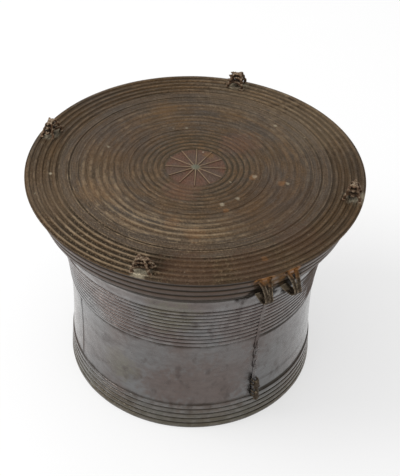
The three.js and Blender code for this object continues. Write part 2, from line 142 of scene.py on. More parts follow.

# Single spots on the head: radius in millimetres, degrees, reach in millimetres, the colour's name, strength
# The groove-coloured spots at -40 degrees paint the near frog's shadow; the wide pale ones at 95 and 130
# paint sheen
HEAD_SPOTS = (
    (110, 47, 11, "rust", 0.4), (113, 49, 6, "dust", 0.6), (166, 47, 10, "rust", 0.4),
    (176, 47.5, 5, "dust", 0.6), (138, -4.5, 7, "rust", 0.4), (120, -4.5, 6, "dust", 0.6),
    (120, 12, 6, "dust", 0.6), (178, 222.5, 5, "dust", 0.6), (128, 160, 4, "dust", 0.6),
    (212, 104, 5, "dust", 0.6), (282, -3, 8, "rust", 0.5), (46, 118, 14, "head_warm", 0.6),
    (268, -40, 40, "groove", 0.5), (286, -40.5, 24, "groove", 0.6), (290, -30, 70, "umber", 0.6),
    (288, -8, 60, "umber", 0.5), (270, 14, 60, "umber", 0.4), (285, -97, 75, "head", 0.5),
    (272, -112, 5, "dust", 0.7), (285, 95, 130, "head_wear_and_highlight", 0.22), (285, 130, 130, "head_wear_and_highlight", 0.18),
    (72, -48, 45, "star", 0.4), (115, 105, 50, "star", 0.35), (170, -42, 20, "rust", 0.14),
    (193, -28, 26, "rust", 0.14), (200, -95, 45, "head_warm", 0.35), (200, 170, 40, "head_warm", 0.3),
    (165, 25, 120, "umber", 0.25), (165, 215, 110, "umber", 0.2),
)

# Clouds on the wall: degrees, height and reach in millimetres, the colour's name and its strength
# The pale clouds on the left paint reflections and sheen; the collar-coloured ones low on the right a dark
# reflection
WALL_CLOUDS = (
    (22, 150, 120, "wall_blue", 0.65), (48, 150, 120, "wall_blue", 0.65), (-14, 195, 75, "wall_blue", 0.65),
    (-48, 190, 70, "wall_blue", 0.65), (-22, 105, 110, "wall", 0.8), (-40, 105, 70, "wall", 0.8),
    (-62, 125, 50, "olive", 0.7), (-37, 312, 70, "olive", 0.8), (-6, 280, 80, "wall", 0.65),
    (-62, 290, 60, "wall", 0.65), (-72, 170, 95, "wall_wear_and_sheen", 0.3), (-78, 360, 75, "wall_wear_and_sheen", 0.7),
    (-58, 352, 40, "wall_wear_and_sheen", 0.4), (52, 20, 55, "collar", 0.6), (30, 10, 40, "collar", 0.4),
)

# Stretches of the ribs that are rubbed nearly clean: degrees, height and reach in millimetres
CLEAN_RIBS = ((-10, 285, 105), (-61, 285, 75))

# Dull dark stretches of the ribs on the right, in painted shade: degrees, height and reach in millimetres
SHADED_RIBS = ((29, 318, 44), (36, 285, 46), (38, 245, 32))

# Soil on the collar between the handles of a pair: degrees, height and reach in millimetres
HANDLE_SOIL = ((-0.6, 424, 34), (179.4, 424, 34))

# The studio, in metres. The lamp and the painted shadow on the floor are placed in the camera's frame.
FLOOR_SIZE = 12.0
FLOOR_SHADE = (0.55, 0.0, -0.15)
LAMP_PLACE = (-1.9, 1.7, -0.6)
LAMP_SIZE = 1.6


# Settings

def length(name, description, default):
    """A length property."""
    return FloatProperty(name=name, description=description, default=default, unit="LENGTH", precision=4)


def angle(name, description, degrees):
    """An angle property."""
    return FloatProperty(name=name, description=description, default=math.radians(degrees), subtype="ANGLE")


def number(name, description, default, unit="NONE"):
    """A plain number property, or one with a unit of its own."""
    return FloatProperty(name=name, description=description, default=default, unit=unit, precision=3)


def colour(name, description, default):
    """A linear colour property."""
    return FloatVectorProperty(
        name=name, description=description, default=default, subtype="COLOR", size=3, min=0.0, max=1.0,
    )


class DrumHeadSizes(bpy.types.PropertyGroup):
    """Sizes of the beaten head."""

    radius: length("Radius", "Outer edge of the head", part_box("tympanum")[1].x)
    thickness: length("Thickness", "Metal of the head", 3.5 * MM)
    height: length("Height", "Plane of the head above the foot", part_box("tympanum")[0].z + 3.5 * MM)
    star_disc: length("Star disc", "Radius of the smooth disc that carries the star", 59 * MM)
    ray_width: length("Ray width", "Width of a ray at its foot", 4.6 * MM)
    ray_relief: length("Ray relief", "How far a ray stands up", 1.5 * MM)
    boss_radius: length("Boss radius", "Raised middle of the star", 8 * MM)
    boss_rise: length("Boss rise", "How far the middle stands up", 2 * MM)
    band_relief: length("Band relief", "Height of the field's ridges above the head's plane", 1.1 * MM)
    groove_depth: length("Groove depth", "Floor of the rim's grooves below the head's plane", 0.5 * MM)
    rim_zone: length("Rim zone", "Width of the ridged zone at the rim", 61 * MM)
    rim_relief: length("Rim relief", "Height of the rim's ridges", 1.8 * MM)


class DrumMantleSizes(bpy.types.PropertyGroup):
    """Sizes of the waisted wall."""

    wall: length("Wall", "Metal of the wall", 3.2 * MM)
    top: length("Top", "Upper edge of the wall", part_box("mantle")[1].z)
    rim_overhang: length("Rim overhang", "Head past the collar", 4 * MM)
    collar_depth: length("Collar depth", "Collar's lower edge below the head", 70 * MM)
    collar_taper: length("Collar taper", "Narrowing of the collar to its lower edge", 25 * MM)
    collar_relief: length("Collar relief", "Height of the collar's ridges", 1.1 * MM)
    collar_lip: length("Collar lip", "Plain edge under the collar's ridges", 3.5 * MM)
    collar_pitch: length("Collar pitch", "From ridge to ridge on the collar", 17.6 * MM)
    neck_drop: length("Neck drop", "Foot of the undercut below the head", 112 * MM)
    neck_radius: length("Neck radius", "Wall under the collar", 266 * MM)
    neck_sweep: number("Neck sweep", "How late the wall swings out to the neck", 2.7)
    rib_drop: length("Rib drop", "Top of the ribbed band below the head", 125 * MM)
    rib_pitch: length("Rib pitch", "From rib to rib", 10.5 * MM)
    rib_relief: length("Rib relief", "Height of the ribs", 1.7 * MM)
    waist_radius: length("Waist radius", "Narrowest part of the wall", 243.8 * MM)
    waist_height: length("Waist height", "Height of the narrowest part", 150 * MM)
    foot_radius: length("Foot radius", "Wall at the floor", 251 * MM)
    foot_sweep: number("Foot sweep", "How late the wall swings out to the foot", 1.5)
    foot_pitch: length("Foot pitch", "From ridge to ridge on the foot", 12.4 * MM)
    foot_relief: length("Foot relief", "Height of the foot's ridges", 1.8 * MM)
    # The shade depth is how far the painted shadow under the collar's edge reaches
    shade_depth: length("Shade depth", "How far the dark patina reaches under the collar", 25 * MM)


class DrumFigureSizes(bpy.types.PropertyGroup):
    """Sizes of handles, frogs and animals."""

    handle_reach: length("Handle reach", "Crown of a handle past the head's edge", 16 * MM)
    handle_top: length("Handle top", "Upper root below the head", 18 * MM)
    handle_crown: length("Handle crown", "Outermost part below the head", 51 * MM)
    handle_bottom: length("Handle bottom", "Lower root above the collar's edge", 5 * MM)
    handle_fork: length("Handle fork", "Between the upper roots", 19 * MM)
    strand_width: length("Strand width", "Width of one strand of a handle", 8.4 * MM)
    strand_thickness: length("Strand thickness", "Thickness of one strand of a handle", 6 * MM)
    frog_inset: length("Frog inset", "Frogs in from the head's edge", 21 * MM)
    lower_frog: length("Lower frog", "Length of the lowest frog", 38 * MM)
    middle_frog: length("Middle frog", "Length of the frog on its back", 33 * MM)
    upper_frog: length("Upper frog", "Length of the top frog", 27 * MM)
    lower_rise: length("Lower rise", "Height of the lowest frog", 12.5 * MM)
    middle_rise: length("Middle rise", "Height of the middle frog", 10 * MM)
    upper_rise: length("Upper rise", "Height of the top frog", 7.5 * MM)
    strip_width: length("Strip width", "Width of the plaited strip", 8 * MM)
    seam_width: length("Seam width", "Width of the plain seams", 3.2 * MM)
    snail_radius: length("Snail radius", "Widest whorl of a shell", 5.2 * MM)
    elephant_stand: length("Elephant stand", "How far an elephant's back stands off the wall", 15 * MM)
    animal_gap: length("Animal gap", "Between one animal and the next", 2 * MM)
    animal_drop: length("Animal drop", "First animal below the ribs", 14 * MM)
    strip_tuck: length("Strip tuck", "How far the strip runs down on the foot's ridges", 8 * MM)
    seam_gap: length("Seam gap", "From a seam's end to the ribs or the foot's ridges", 4 * MM)


class DrumColours(bpy.types.PropertyGroup):
    """Colours of the patina, in linear light."""

    head: colour("Head", "Olive-brown of the head", (0.126, 0.086, 0.052))
    head_grey: colour("Grey head", "Grey clouds on the head", (0.112, 0.094, 0.078))
    head_warm: colour("Warm head", "Orange-brown arcs on the head", (0.18, 0.105, 0.05))
    # The worn head colour is rubbed wear and also painted highlights, glints and sheen
    head_wear_and_highlight: colour("Worn head", "Tan where the head's ridges are rubbed", (0.27, 0.2, 0.125))
    umber: colour("Umber", "Dark red-brown of the rim above the handles", (0.085, 0.048, 0.03))
    star: colour("Star disc", "Red-brown behind the star", (0.155, 0.08, 0.055))
    boss: colour("Boss", "Grey-green of the star's middle", (0.15, 0.155, 0.115))
    wall: colour("Wall", "Mauve-brown of the wall", (0.112, 0.084, 0.074))
    wall_blue: colour("Blue wall", "Blue-grey clouds on the wall", (0.148, 0.148, 0.148))
    # The worn wall colour is rubbed wear and also painted reflections and sheen
    wall_wear_and_sheen: colour("Worn wall", "Pale grey where ridges are rubbed", (0.24, 0.22, 0.21))
    collar: colour("Collar", "Dark brown of the collar", (0.074, 0.045, 0.028))
    olive: colour("Foot", "Olive-brown low on the foot", (0.115, 0.105, 0.07))
    cast: colour("Castings", "Red-brown of the frogs", (0.105, 0.058, 0.034))
    strap: colour("Straps", "Grey-brown of handles and elephants", (0.055, 0.04, 0.028))
    # The worn casting colour is rubbed wear and also painted highlights
    cast_wear_and_highlight: colour("Worn castings", "Tan where castings are rubbed", (0.46, 0.37, 0.26))
    # The groove colour is dirt and also painted shade: in hollows, behind the handles, under the collar, by
    # frogs
    groove: colour("Grooves", "Dark dirt in the grooves", (0.022, 0.016, 0.01))
    rust: colour("Rust", "Orange-brown traces", (0.33, 0.155, 0.055))
    dust: colour("Dust", "Pale specks and soil", (0.42, 0.37, 0.27))
    floor: colour("Floor", "Pale studio floor", (0.9, 0.9, 0.9))


def head_sizes():
    """The head's settings."""
    return bpy.context.scene.drum_head


def mantle_sizes():
    """The wall's settings."""
    return bpy.context.scene.drum_mantle


def figure_sizes():
    """The settings of handles, frogs and animals."""
    return bpy.context.scene.drum_figures


def colours():
    """The patina's settings."""
    return bpy.context.scene.drum_colours


# Modelling helpers

def mixed(first, second, share_of_second):
    """A value between two."""
    return first + (second - first) * share_of_second


def start_piece():
    """Leaves edit mode and selects nothing, so that the next operator acts on its own piece alone."""
    if bpy.context.object and bpy.context.object.mode != "OBJECT":
        bpy.ops.object.mode_set(mode="OBJECT")
    bpy.ops.object.select_all(action="DESELECT")


def pick(*pieces):
    """Selects these pieces alone, with the first one active."""
    start_piece()
    for piece in pieces:
        piece.select_set(True)
    bpy.context.view_layer.objects.active = pieces[0]


def name_piece(name):
    """Names the active object and its mesh."""
    piece = bpy.context.object
    piece.name = name
    piece.data.name = name
    return piece


def trace(name, points):
    """A new mesh of one line of edges through the points, left in edit mode."""
    start_piece()
    bpy.ops.mesh.primitive_plane_add(size=MM)
    piece = name_piece(name)
    bpy.ops.object.mode_set(mode="EDIT")
    bpy.ops.mesh.select_all(action="SELECT")
    bpy.ops.mesh.merge(type="CENTER")
    bpy.ops.transform.translate(value=points[0])
    for start, end in pairwise(points):
        bpy.ops.mesh.extrude_region_move(TRANSFORM_OT_translate={"value": Vector(end) - Vector(start)})
    return piece


def spin_round(steps, copies=False):
    """Spins what is being edited all the way round Z, closes the mesh and leaves edit mode."""
    bpy.ops.mesh.select_all(action="SELECT")
    bpy.ops.mesh.spin(steps=steps, angle=TURN, dupli=copies, center=(0, 0, 0), axis=(0, 0, 1))
    bpy.ops.mesh.select_all(action="SELECT")
    bpy.ops.mesh.remove_doubles(threshold=0.01 * MM)
    bpy.ops.mesh.normals_make_consistent(inside=False)
    bpy.ops.object.mode_set(mode="OBJECT")


def spun(name, profile):
    """A closed form turned about Z from (radius, height, relief) points. The relief of each ring is
    kept as an attribute for the materials."""
    piece = trace(name, [(radius, 0.0, height) for radius, height, _ in profile])
    spin_round(SPIN_STEPS)
    rings = {(round(r / MM, 2), round(z / MM, 2)): relief for r, z, relief in profile}
    reliefs = []
    for vertex in piece.data.vertices:
        ring = (round(vertex.co.xy.length / MM, 2), round(vertex.co.z / MM, 2))
        reliefs.append(rings.get(ring, HALFWAY))
    keep_relief(piece, reliefs)
    return piece


def keep_relief(piece, relief):
    """Stores a relief value for each vertex, or one for all of them."""
    attribute = piece.data.attributes.new("relief", "FLOAT", "POINT")
    attribute.data.foreach_set("value", np.full(len(piece.data.vertices), relief, np.float32))


def apply_modifiers(piece):
    """Applies every modifier of the piece, in order."""
    pick(piece)
    for modifier in list(piece.modifiers):
        bpy.ops.object.modifier_apply(modifier=modifier.name)


def unevenness(piece, size, strength):
    """Displaces the surface by soft noise, as hand-worked wax leaves it."""
    texture = bpy.data.textures.new(f"{piece.name}_unevenness", "CLOUDS")
    texture.noise_scale = size
    texture.noise_depth = 2
    modifier = piece.modifiers.new("unevenness", "DISPLACE")
    modifier.texture = texture
    modifier.texture_coords = "LOCAL"
    modifier.mid_level = 0.5
    modifier.strength = strength
    apply_modifiers(piece)


def hand_over(piece, finish, slot, *nodes, sharp=40):
    """Finishes a piece: smooth faces, with edges kept where the surface turns by more than the sharp
    angle, its material, its body and the solids that it stands for. The slot is not used."""
    pick(piece)
    bpy.ops.object.shade_smooth_by_angle(angle=math.radians(sharp))
    piece.data.materials.clear()
    piece.data.materials.append(finish_named(finish))
    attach(piece, BODY)
    if nodes:
        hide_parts(*nodes)


def set_round(piece, places):
    """Sets the piece, and copies with their own meshes, round the drum. The places give each
    one's name and its angle in degrees."""
    pieces = [piece]
    while len(pieces) < len(places):
        pick(piece)
        bpy.ops.object.duplicate()
        pieces.append(bpy.context.object)
    for made, (name, degrees) in zip(pieces, places.items()):
        pick(made)
        name_piece(name)
        made.data.transform(Matrix.Rotation(math.radians(degrees), 4, "Z"))
    return pieces


def smooth_path(points, steps):
    """Points along a smooth curve through the given ones."""
    points = [Vector(point) for point in points]
    ends = [points[0], *points, points[-1]]
    slopes = [(after - before) / 6 for before, after in zip(ends, ends[2:])]
    path = [points[0]]
    for i, (start, end) in enumerate(pairwise(points)):
        path += interpolate_bezier(start, start + slopes[i], end - slopes[i + 1], end, steps + 1)[1:]
    return path


def cords(name, paths, thickness, sides=8):
    """A mesh of round bars, one along each path. A path's points may carry a fourth number, their
    share of the thickness."""
    start_piece()
    bpy.ops.curve.primitive_bezier_curve_add()
    piece = name_piece(name)
    curve = piece.data
    curve.splines.clear()
    curve.dimensions = "3D"
    curve.bevel_depth = thickness
    curve.bevel_resolution = sides // 2 - 2
    curve.use_fill_caps = True
    for path in paths:
        spline = curve.splines.new("POLY")
        spline.points.add(len(path) - 1)
        for point, target in zip(path, spline.points):
            target.co = (*point[:3], 1.0)
            target.radius = point[3] if len(point) > 3 else 1.0
    bpy.ops.object.convert(target="MESH")
    return name_piece(name)


def bar(name, points, steps, thickness, start=1.0, end=1.0):
    """A round bar along a smooth curve through the points. Its thickness goes from one share of the
    given one to another."""
    path = smooth_path(points, steps)
    last = len(path) - 1
    return cords(name, [[(*point, mixed(start, end, i / last)) for i, point in enumerate(path)]], thickness)


def plait(path, across, swing, lift, pitch):
    """Three cords woven along a path: the points of each cord. They swing to and fro in the
    direction across, and over and under each other by the lift."""
    arcs = [0.0]
    for start, end in pairwise(path):
        arcs.append(arcs[-1] + (end - start).length)
    woven = [[] for _ in range(PLAIT_CORDS)]
    for i, point in enumerate(path):
        along = (path[min(i + 1, len(path) - 1)] - path[max(i - 1, 0)]).normalized()
        side = (across - along * across.dot(along)).normalized()
        out = side.cross(along)
        for k, cord in enumerate(woven):
            phase = TURN * (arcs[i] / pitch + k / PLAIT_CORDS)
            cord.append(point + side * swing * math.sin(phase) + out * lift * math.sin(2 * phase))
    return woven


def joined(name, pieces):
    """Several meshes as one piece."""
    pick(*pieces)
    bpy.ops.object.join()
    return name_piece(name)


def lump(centre, radii, tilt=0.0):
    """A ball stretched to the given radii and tilted nose up, for casting together with others."""
    start_piece()
    bpy.ops.mesh.primitive_uv_sphere_add(
        segments=20, ring_count=12, radius=1.0, location=centre, rotation=(0, -tilt, 0), scale=radii,
    )
    bpy.ops.object.transform_apply(location=True, rotation=True, scale=True)
    return bpy.context.object


def cast_together(name, lumps, voxel, smoothing=3):
    """Joins rough forms and melts them into one cast skin."""
    piece = joined(name, lumps)
    melt = piece.modifiers.new("melt", "REMESH")
    melt.mode = "VOXEL"
    melt.voxel_size = voxel
    soften = piece.modifiers.new("soften", "SMOOTH")
    soften.iterations = smoothing
    soften.factor = 0.5
    apply_modifiers(piece)
    return piece


# Node helpers

class Output:
    """A node's output. Arithmetic on it adds math nodes to its tree, and of two masks | gives the
    stronger one at each place."""

    def __init__(self, socket):
        self.socket = socket

    def math(self, operation, first, second=0.0):
        """A math node in the same tree."""
        inputs = {0: first, 1: second}
        return output_of(self.socket.id_data, "ShaderNodeMath", inputs, operation=operation)

    def __add__(self, other):
        return self.math("ADD", self, other)

    def __sub__(self, other):
        return self.math("SUBTRACT", self, other)

    def __rsub__(self, other):
        return self.math("SUBTRACT", other, self)

    def __mul__(self, other):
        return self.math("MULTIPLY", self, other)

    def __truediv__(self, other):
        return self.math("DIVIDE", self, other)

    def __or__(self, other):
        return self.math("MAXIMUM", self, other)

    __radd__ = __add__
    __rmul__ = __mul__

    def vector_math(self, operation, second=(0.0, 0.0, 0.0)):
        """A vector math node in the same tree, with a number where the operation gives one."""
        is_number = operation in ("LENGTH", "DISTANCE", "DOT_PRODUCT")
        return output_of(
            self.socket.id_data, "ShaderNodeVectorMath", {0: self, 1: second},
            "Value" if is_number else "Vector", operation=operation,
        )

    def height(self):
        """The Z of a vector."""
        return output_of(self.socket.id_data, "ShaderNodeSeparateXYZ", {0: self}, "Z")

    def facing(self, degrees):
        """How far a vector points to one angle round the drum."""
        return self.vector_math("DOT_PRODUCT", on_drum(1.0, degrees, 0.0))

    def step(self, low, high):
        """A smooth step from 0 at low to 1 at high."""
        inputs = {"Value": self, "From Min": low, "From Max": high}
        return output_of(
            self.socket.id_data, "ShaderNodeMapRange", inputs, "Result", interpolation_type="SMOOTHSTEP",
        )

    def band(self, low, full, fading, high):
        """1 between full and fading, and 0 below low and above high."""
        return self.step(low, full) * (1 - self.step(fading, high))


def node(tree, kind, inputs=None, **settings):
    """A new node with its settings. An input is a plain value or the output that feeds it."""
    made = tree.nodes.new(kind)
    for name, value in settings.items():
        setattr(made, name, value)
    for socket, source in (inputs or {}).items():
        if isinstance(source, Output):
            tree.links.new(source.socket, made.inputs[socket])
        else:
            made.inputs[socket].default_value = source
    return made


def output_of(tree, kind, inputs=None, output=0, **settings):
    """One output of a new node."""
    return Output(node(tree, kind, inputs, **settings).outputs[output])


def outputs_of(made):
    """All outputs of a node, by their names in small letters."""
    return SimpleNamespace(**{socket.name.lower(): Output(socket) for socket in made.outputs if socket.name})


def position(tree):
    """The place on the piece, in Object coordinates."""
    return output_of(tree, "ShaderNodeTexCoord", output="Object")


def round_axis(tree):
    """The distance from the drum's axis, and the direction away from it."""
    flat = position(tree).vector_math("MULTIPLY", (1.0, 1.0, 0.0))
    return flat.vector_math("LENGTH"), flat.vector_math("NORMALIZE")


def relief_value(tree):
    """The relief that the mesh carries."""
    return output_of(tree, "ShaderNodeAttribute", output="Fac", attribute_name="relief")


def between(factor, first, second):
    """A mix of two numbers."""
    inputs = {0: factor, 2: first, 3: second}
    return output_of(factor.socket.id_data, "ShaderNodeMix", inputs, data_type="FLOAT")


def blend(factor, *pair):
    """A mix of two colours. A plain colour is given as three numbers."""
    first, second = (tint if isinstance(tint, Output) else (*tint, 1.0) for tint in pair)
    inputs = {0: factor, 6: first, 7: second}
    return output_of(factor.socket.id_data, "ShaderNodeMix", inputs, 2, data_type="RGBA")


def noise(tree, scale, detail=4.0, vector=None, roughness=0.55):
    """The value of a noise texture on Object coordinates, or on the given vector."""
    inputs = {"Vector": vector or position(tree), "Scale": scale, "Detail": detail, "Roughness": roughness}
    return output_of(tree, "ShaderNodeTexNoise", inputs, "Fac")


def united(masks):
    """One mask of several, the strongest at each place."""
    return reduce(Output.__or__, masks)


# Node groups

def new_group(name, **inputs):
    """A shader node group with float inputs, or vector ones where the default is a tuple. Returns
    its tree and its inputs."""
    tree = bpy.data.node_groups.new(name, "ShaderNodeTree")
    for socket, default in inputs.items():
        kind = "NodeSocketVector" if isinstance(default, tuple) else "NodeSocketFloat"
        made = tree.interface.new_socket(socket, in_out="INPUT", socket_type=kind)
        made.default_value = default
    return tree, outputs_of(node(tree, "NodeGroupInput"))


def finished_group(tree, **outputs):
    """Gives a group its outputs."""
    for socket in outputs:
        tree.interface.new_socket(socket, in_out="OUTPUT", socket_type="NodeSocketFloat")
    node(tree, "NodeGroupOutput", outputs)
    return tree


def grooves_group():
    """Where dirt lies in the grooves in patches, the grooves themselves, where the crests are rubbed
    bright, the crests, which forms stand up by themselves, and the black lines."""
    tree, _ = new_group("grooves")
    relief = relief_value(tree)
    ragged = relief + (noise(tree, 9.0, 8.0, roughness=0.7) - 0.5) * 1.3
    raised = relief.step(1.2, 1.8)
    return finished_group(
        tree,
        Dirt=1 - ragged.step(0.0, 0.5),
        Groove=1 - relief.step(0.35, 0.6),
        Rubbed=relief.step(0.85, 1.0) * noise(tree, 55.0, 5.0).step(0.42, 0.68),
        Crest=relief.step(0.94, 1.0) * (1 - raised),
        Raised=raised,
        Sunk=1 - relief.step(-1.2, -0.2),
    )


def mottle_group():
    """Cloudy patina at hand size and finger size, and the grain of the casting."""
    tree, _ = new_group("mottle")
    return finished_group(
        tree,
        Broad=noise(tree, 7.0, 6.0).step(0.38, 0.64),
        Fine=noise(tree, 60.0, 6.0, roughness=0.65).step(0.35, 0.68),
        Speckle=noise(tree, 260.0, 3.0, roughness=0.6).step(0.36, 0.66),
        Grain=noise(tree, 700.0, 3.0),
    )


def streaks_group():
    """Patina drawn out round the drum's axis. Upright is 0 on the head, where the streaks lie
    side by side in the radius, and 1 on the wall, where they lie one above the other."""
    tree, given = new_group("streaks", Upright=0.0, Along=4.0, Across=60.0)
    radius, turn = round_axis(tree)
    across = between(given.upright, radius, position(tree).height())
    lift = output_of(tree, "ShaderNodeCombineXYZ", {"Z": across * given.across})
    drawn = turn.vector_math("MULTIPLY", given.along).vector_math("ADD", lift)
    return finished_group(tree, Streak=noise(tree, 1.0, 5.0, drawn).step(0.34, 0.68))


def specks_group():
    """Small scattered specks. A higher threshold leaves fewer."""
    tree, given = new_group("specks", Scale=40.0, Threshold=0.7)
    value = noise(tree, given.scale, 2.0, roughness=0.4)
    return finished_group(tree, Mask=value.step(given.threshold, given.threshold + 0.05))


def patch_group():
    """A ragged patch round a point."""
    tree, given = new_group("patch", Centre=(0.0, 0.0, 0.0), Radius=0.05)
    reach = position(tree).vector_math("DISTANCE", given.centre) / given.radius
    ragged = reach + (noise(tree, 90.0, 5.0) - 0.5) * 1.6
    return finished_group(tree, Mask=1 - ragged.step(0.35, 1.0))


GROUPS = {
    "grooves": grooves_group, "mottle": mottle_group, "streaks": streaks_group,
    "specks": specks_group, "patch": patch_group,
}


def use_group(tree, name, **inputs):
    """The outputs of a shared group, built on first use and placed in a material with its own values."""
    group = bpy.data.node_groups.get(name) or GROUPS[name]()
    return outputs_of(node(tree, "ShaderNodeGroup", inputs, node_tree=group))


# Patches on the drum

def on_drum(radius, degrees, height):
    """A point from its radius, its angle round the drum and its height."""
    turn = math.radians(degrees)
    return (radius * math.cos(turn), radius * math.sin(turn), height)


def patch(tree, radius, degrees, height, reach):
    """Mask of a ragged patch round a point."""
    return use_group(tree, "patch", Centre=on_drum(radius, degrees, height), Radius=reach).mask


def at_handles(tree, *places):
    """Masks of patches at every handle. A place has a radius, degrees from the handle, a height and
    a reach."""
    for degrees in HANDLE_ANGLES.values():
        for radius, offset, height, reach in places:
            yield patch(tree, radius, degrees + offset, height, reach)


def rust_at_handles(tree, reach):
    """Masks of the rust round the upper roots of the handles."""
    height = head_sizes().height - figure_sizes().handle_top
    return at_handles(tree, (collar_radius(height), 0.0, height, reach))


def painted_light_on_returns(tree):
    """Masks of the painted light on the lumps where the handles come back to the wall."""
    height = collar_edge()[0] + figure_sizes().handle_bottom + 2 * MM
    return at_handles(tree, (collar_radius(height) + 8 * MM, -1.1, height, 11 * MM))


def shade_in_handles(tree):
    """Masks of the painted shade in the hollows behind the handles: on the collar, at its edge and on the
    neck.
    """
    edge, neck = collar_edge()[0], mantle_sizes().neck_radius
    low = edge + figure_sizes().handle_bottom + 7 * MM
    middle, high = low + 8 * MM, low + 22 * MM
    return at_handles(
        tree,
        (collar_radius(low), -1.0, low, 25 * MM),
        (collar_radius(low), 2.4, low, 24 * MM),
        (collar_radius(high), 0.0, high, 17 * MM),
        (collar_radius(middle), 2.0, middle, 22 * MM),
        (neck + 5 * MM, -3.0, edge - 14 * MM, 26 * MM),
        (neck, 7.0, edge - 34 * MM, 26 * MM),
    )


def wall_patches(tree, places):
    """Masks of ragged patches on the wall."""
    for degrees, height, reach, *_ in places:
        yield patch(tree, wall_radius(height * MM), degrees, height * MM, reach * MM)


def round_frogs(tree, reach, outward):
    """Masks of the pale soil round the feet of the frogs and of the painted shade under their bellies,
    moved outward by a share of the frogs' inset."""
    head = head_sizes()
    radius = head.radius - (1 - outward) * figure_sizes().frog_inset
    for degrees in FROG_ANGLES:
        yield patch(tree, radius, degrees + 0.4, head.height, reach)


def head_spots(tree):
    """The single spots on the head, as layers of colour."""
    for radius, degrees, reach, tint, strength in HEAD_SPOTS:
        mask = patch(tree, radius * MM, degrees, head_sizes().height, reach * MM)
        yield mask, strength, getattr(colours(), tint)


def under_each_rib(height):
    """Mask of the lower flanks of the ribs."""
    bottom, top = rib_band()
    ribs = (height - bottom) / mantle_sizes().rib_pitch
    flank = 1 - ribs.math("FRACT", ribs).step(0.25, 0.5)
    return flank * height.band(bottom - 1 * MM, bottom, top, top + 1 * MM)


# Finishes

def new_bronze(name):
    """A material with its tree, its Principled shader and the mottling that every finish has."""
    material = bpy.data.materials.new(name)
    material.use_nodes = True
    tree = material.node_tree
    return material, tree, tree.nodes["Principled BSDF"], use_group(tree, "mottle")


def finish_bronze(shader, depth, height, **feeds):
    """Joins a bump and the outputs that feed the shader to it. Dirt isn't metal, and the low specular
    level keeps it dull."""
    tree = shader.id_data
    shader.inputs["Specular IOR Level"].default_value = 0.04
    feeds["Normal"] = output_of(
        tree, "ShaderNodeBump", {"Height": height, "Strength": 1.0, "Distance": depth}, "Normal",
    )
    for socket, feed in feeds.items():
        tree.links.new(feed.socket, shader.inputs[socket.replace("_", " ")])


def dimmed(tint, share_left):
    """A darker shade of a colour."""
    return [share_left * value for value in tint]


def layered(base, layers):
    """Lays colours over a base, each given as (mask, strength, colour)."""
    for mask, strength, tint in layers:
        base = blend(mask * strength, base, tint)
    return base


def head_zones(tree):
    """Masks of the head's zones: outwards from its middle, and round it from where painted light is
    strongest.
    """
    head = head_sizes()
    radius, turn = round_axis(tree)
    struck = turn.facing(PAINTED_LIGHT_ANGLE)
    rim = head.radius - head.rim_zone

    def belt(shares):
        return radius.band(*[share_out * head.radius for share_out in shares])

    return SimpleNamespace(
        boss=1 - radius.step(0.6 * head.boss_radius, 1.4 * head.boss_radius),
        disc=1 - radius.step(0.9 * head.star_disc, head.star_disc),
        ringed=radius.step(0.9 * head.star_disc, head.star_disc),
        inner=1 - radius.step(0.3 * head.radius, 0.4 * head.radius),
        outer=radius.step(0.4 * head.radius, 0.55 * head.radius),
        rim=radius.step(rim, rim + 8 * MM),
        grey=belt(GREY_BELT),
        # A belt of painted highlights on the crests and painted shade in the grooves, towards one angle
        painted_light_belt=belt(PAINTED_LIGHT_BELT) * turn.facing(PAINTED_BELT_ANGLE).step(0.68, 0.96),
        # Painted glints in the glint belt, towards the near side
        glinting=belt(GLINT_BELT) * struck.step(0.3, 0.95),
        # Side, nearest and farthest set where painted shade fills the grooves and painted highlights lie on
        # the crests
        side=struck.step(0.1, 0.95),
        nearest=struck.step(0.87, 0.985),
        farthest=(struck * -1.0).step(0.7, 0.95),
    )


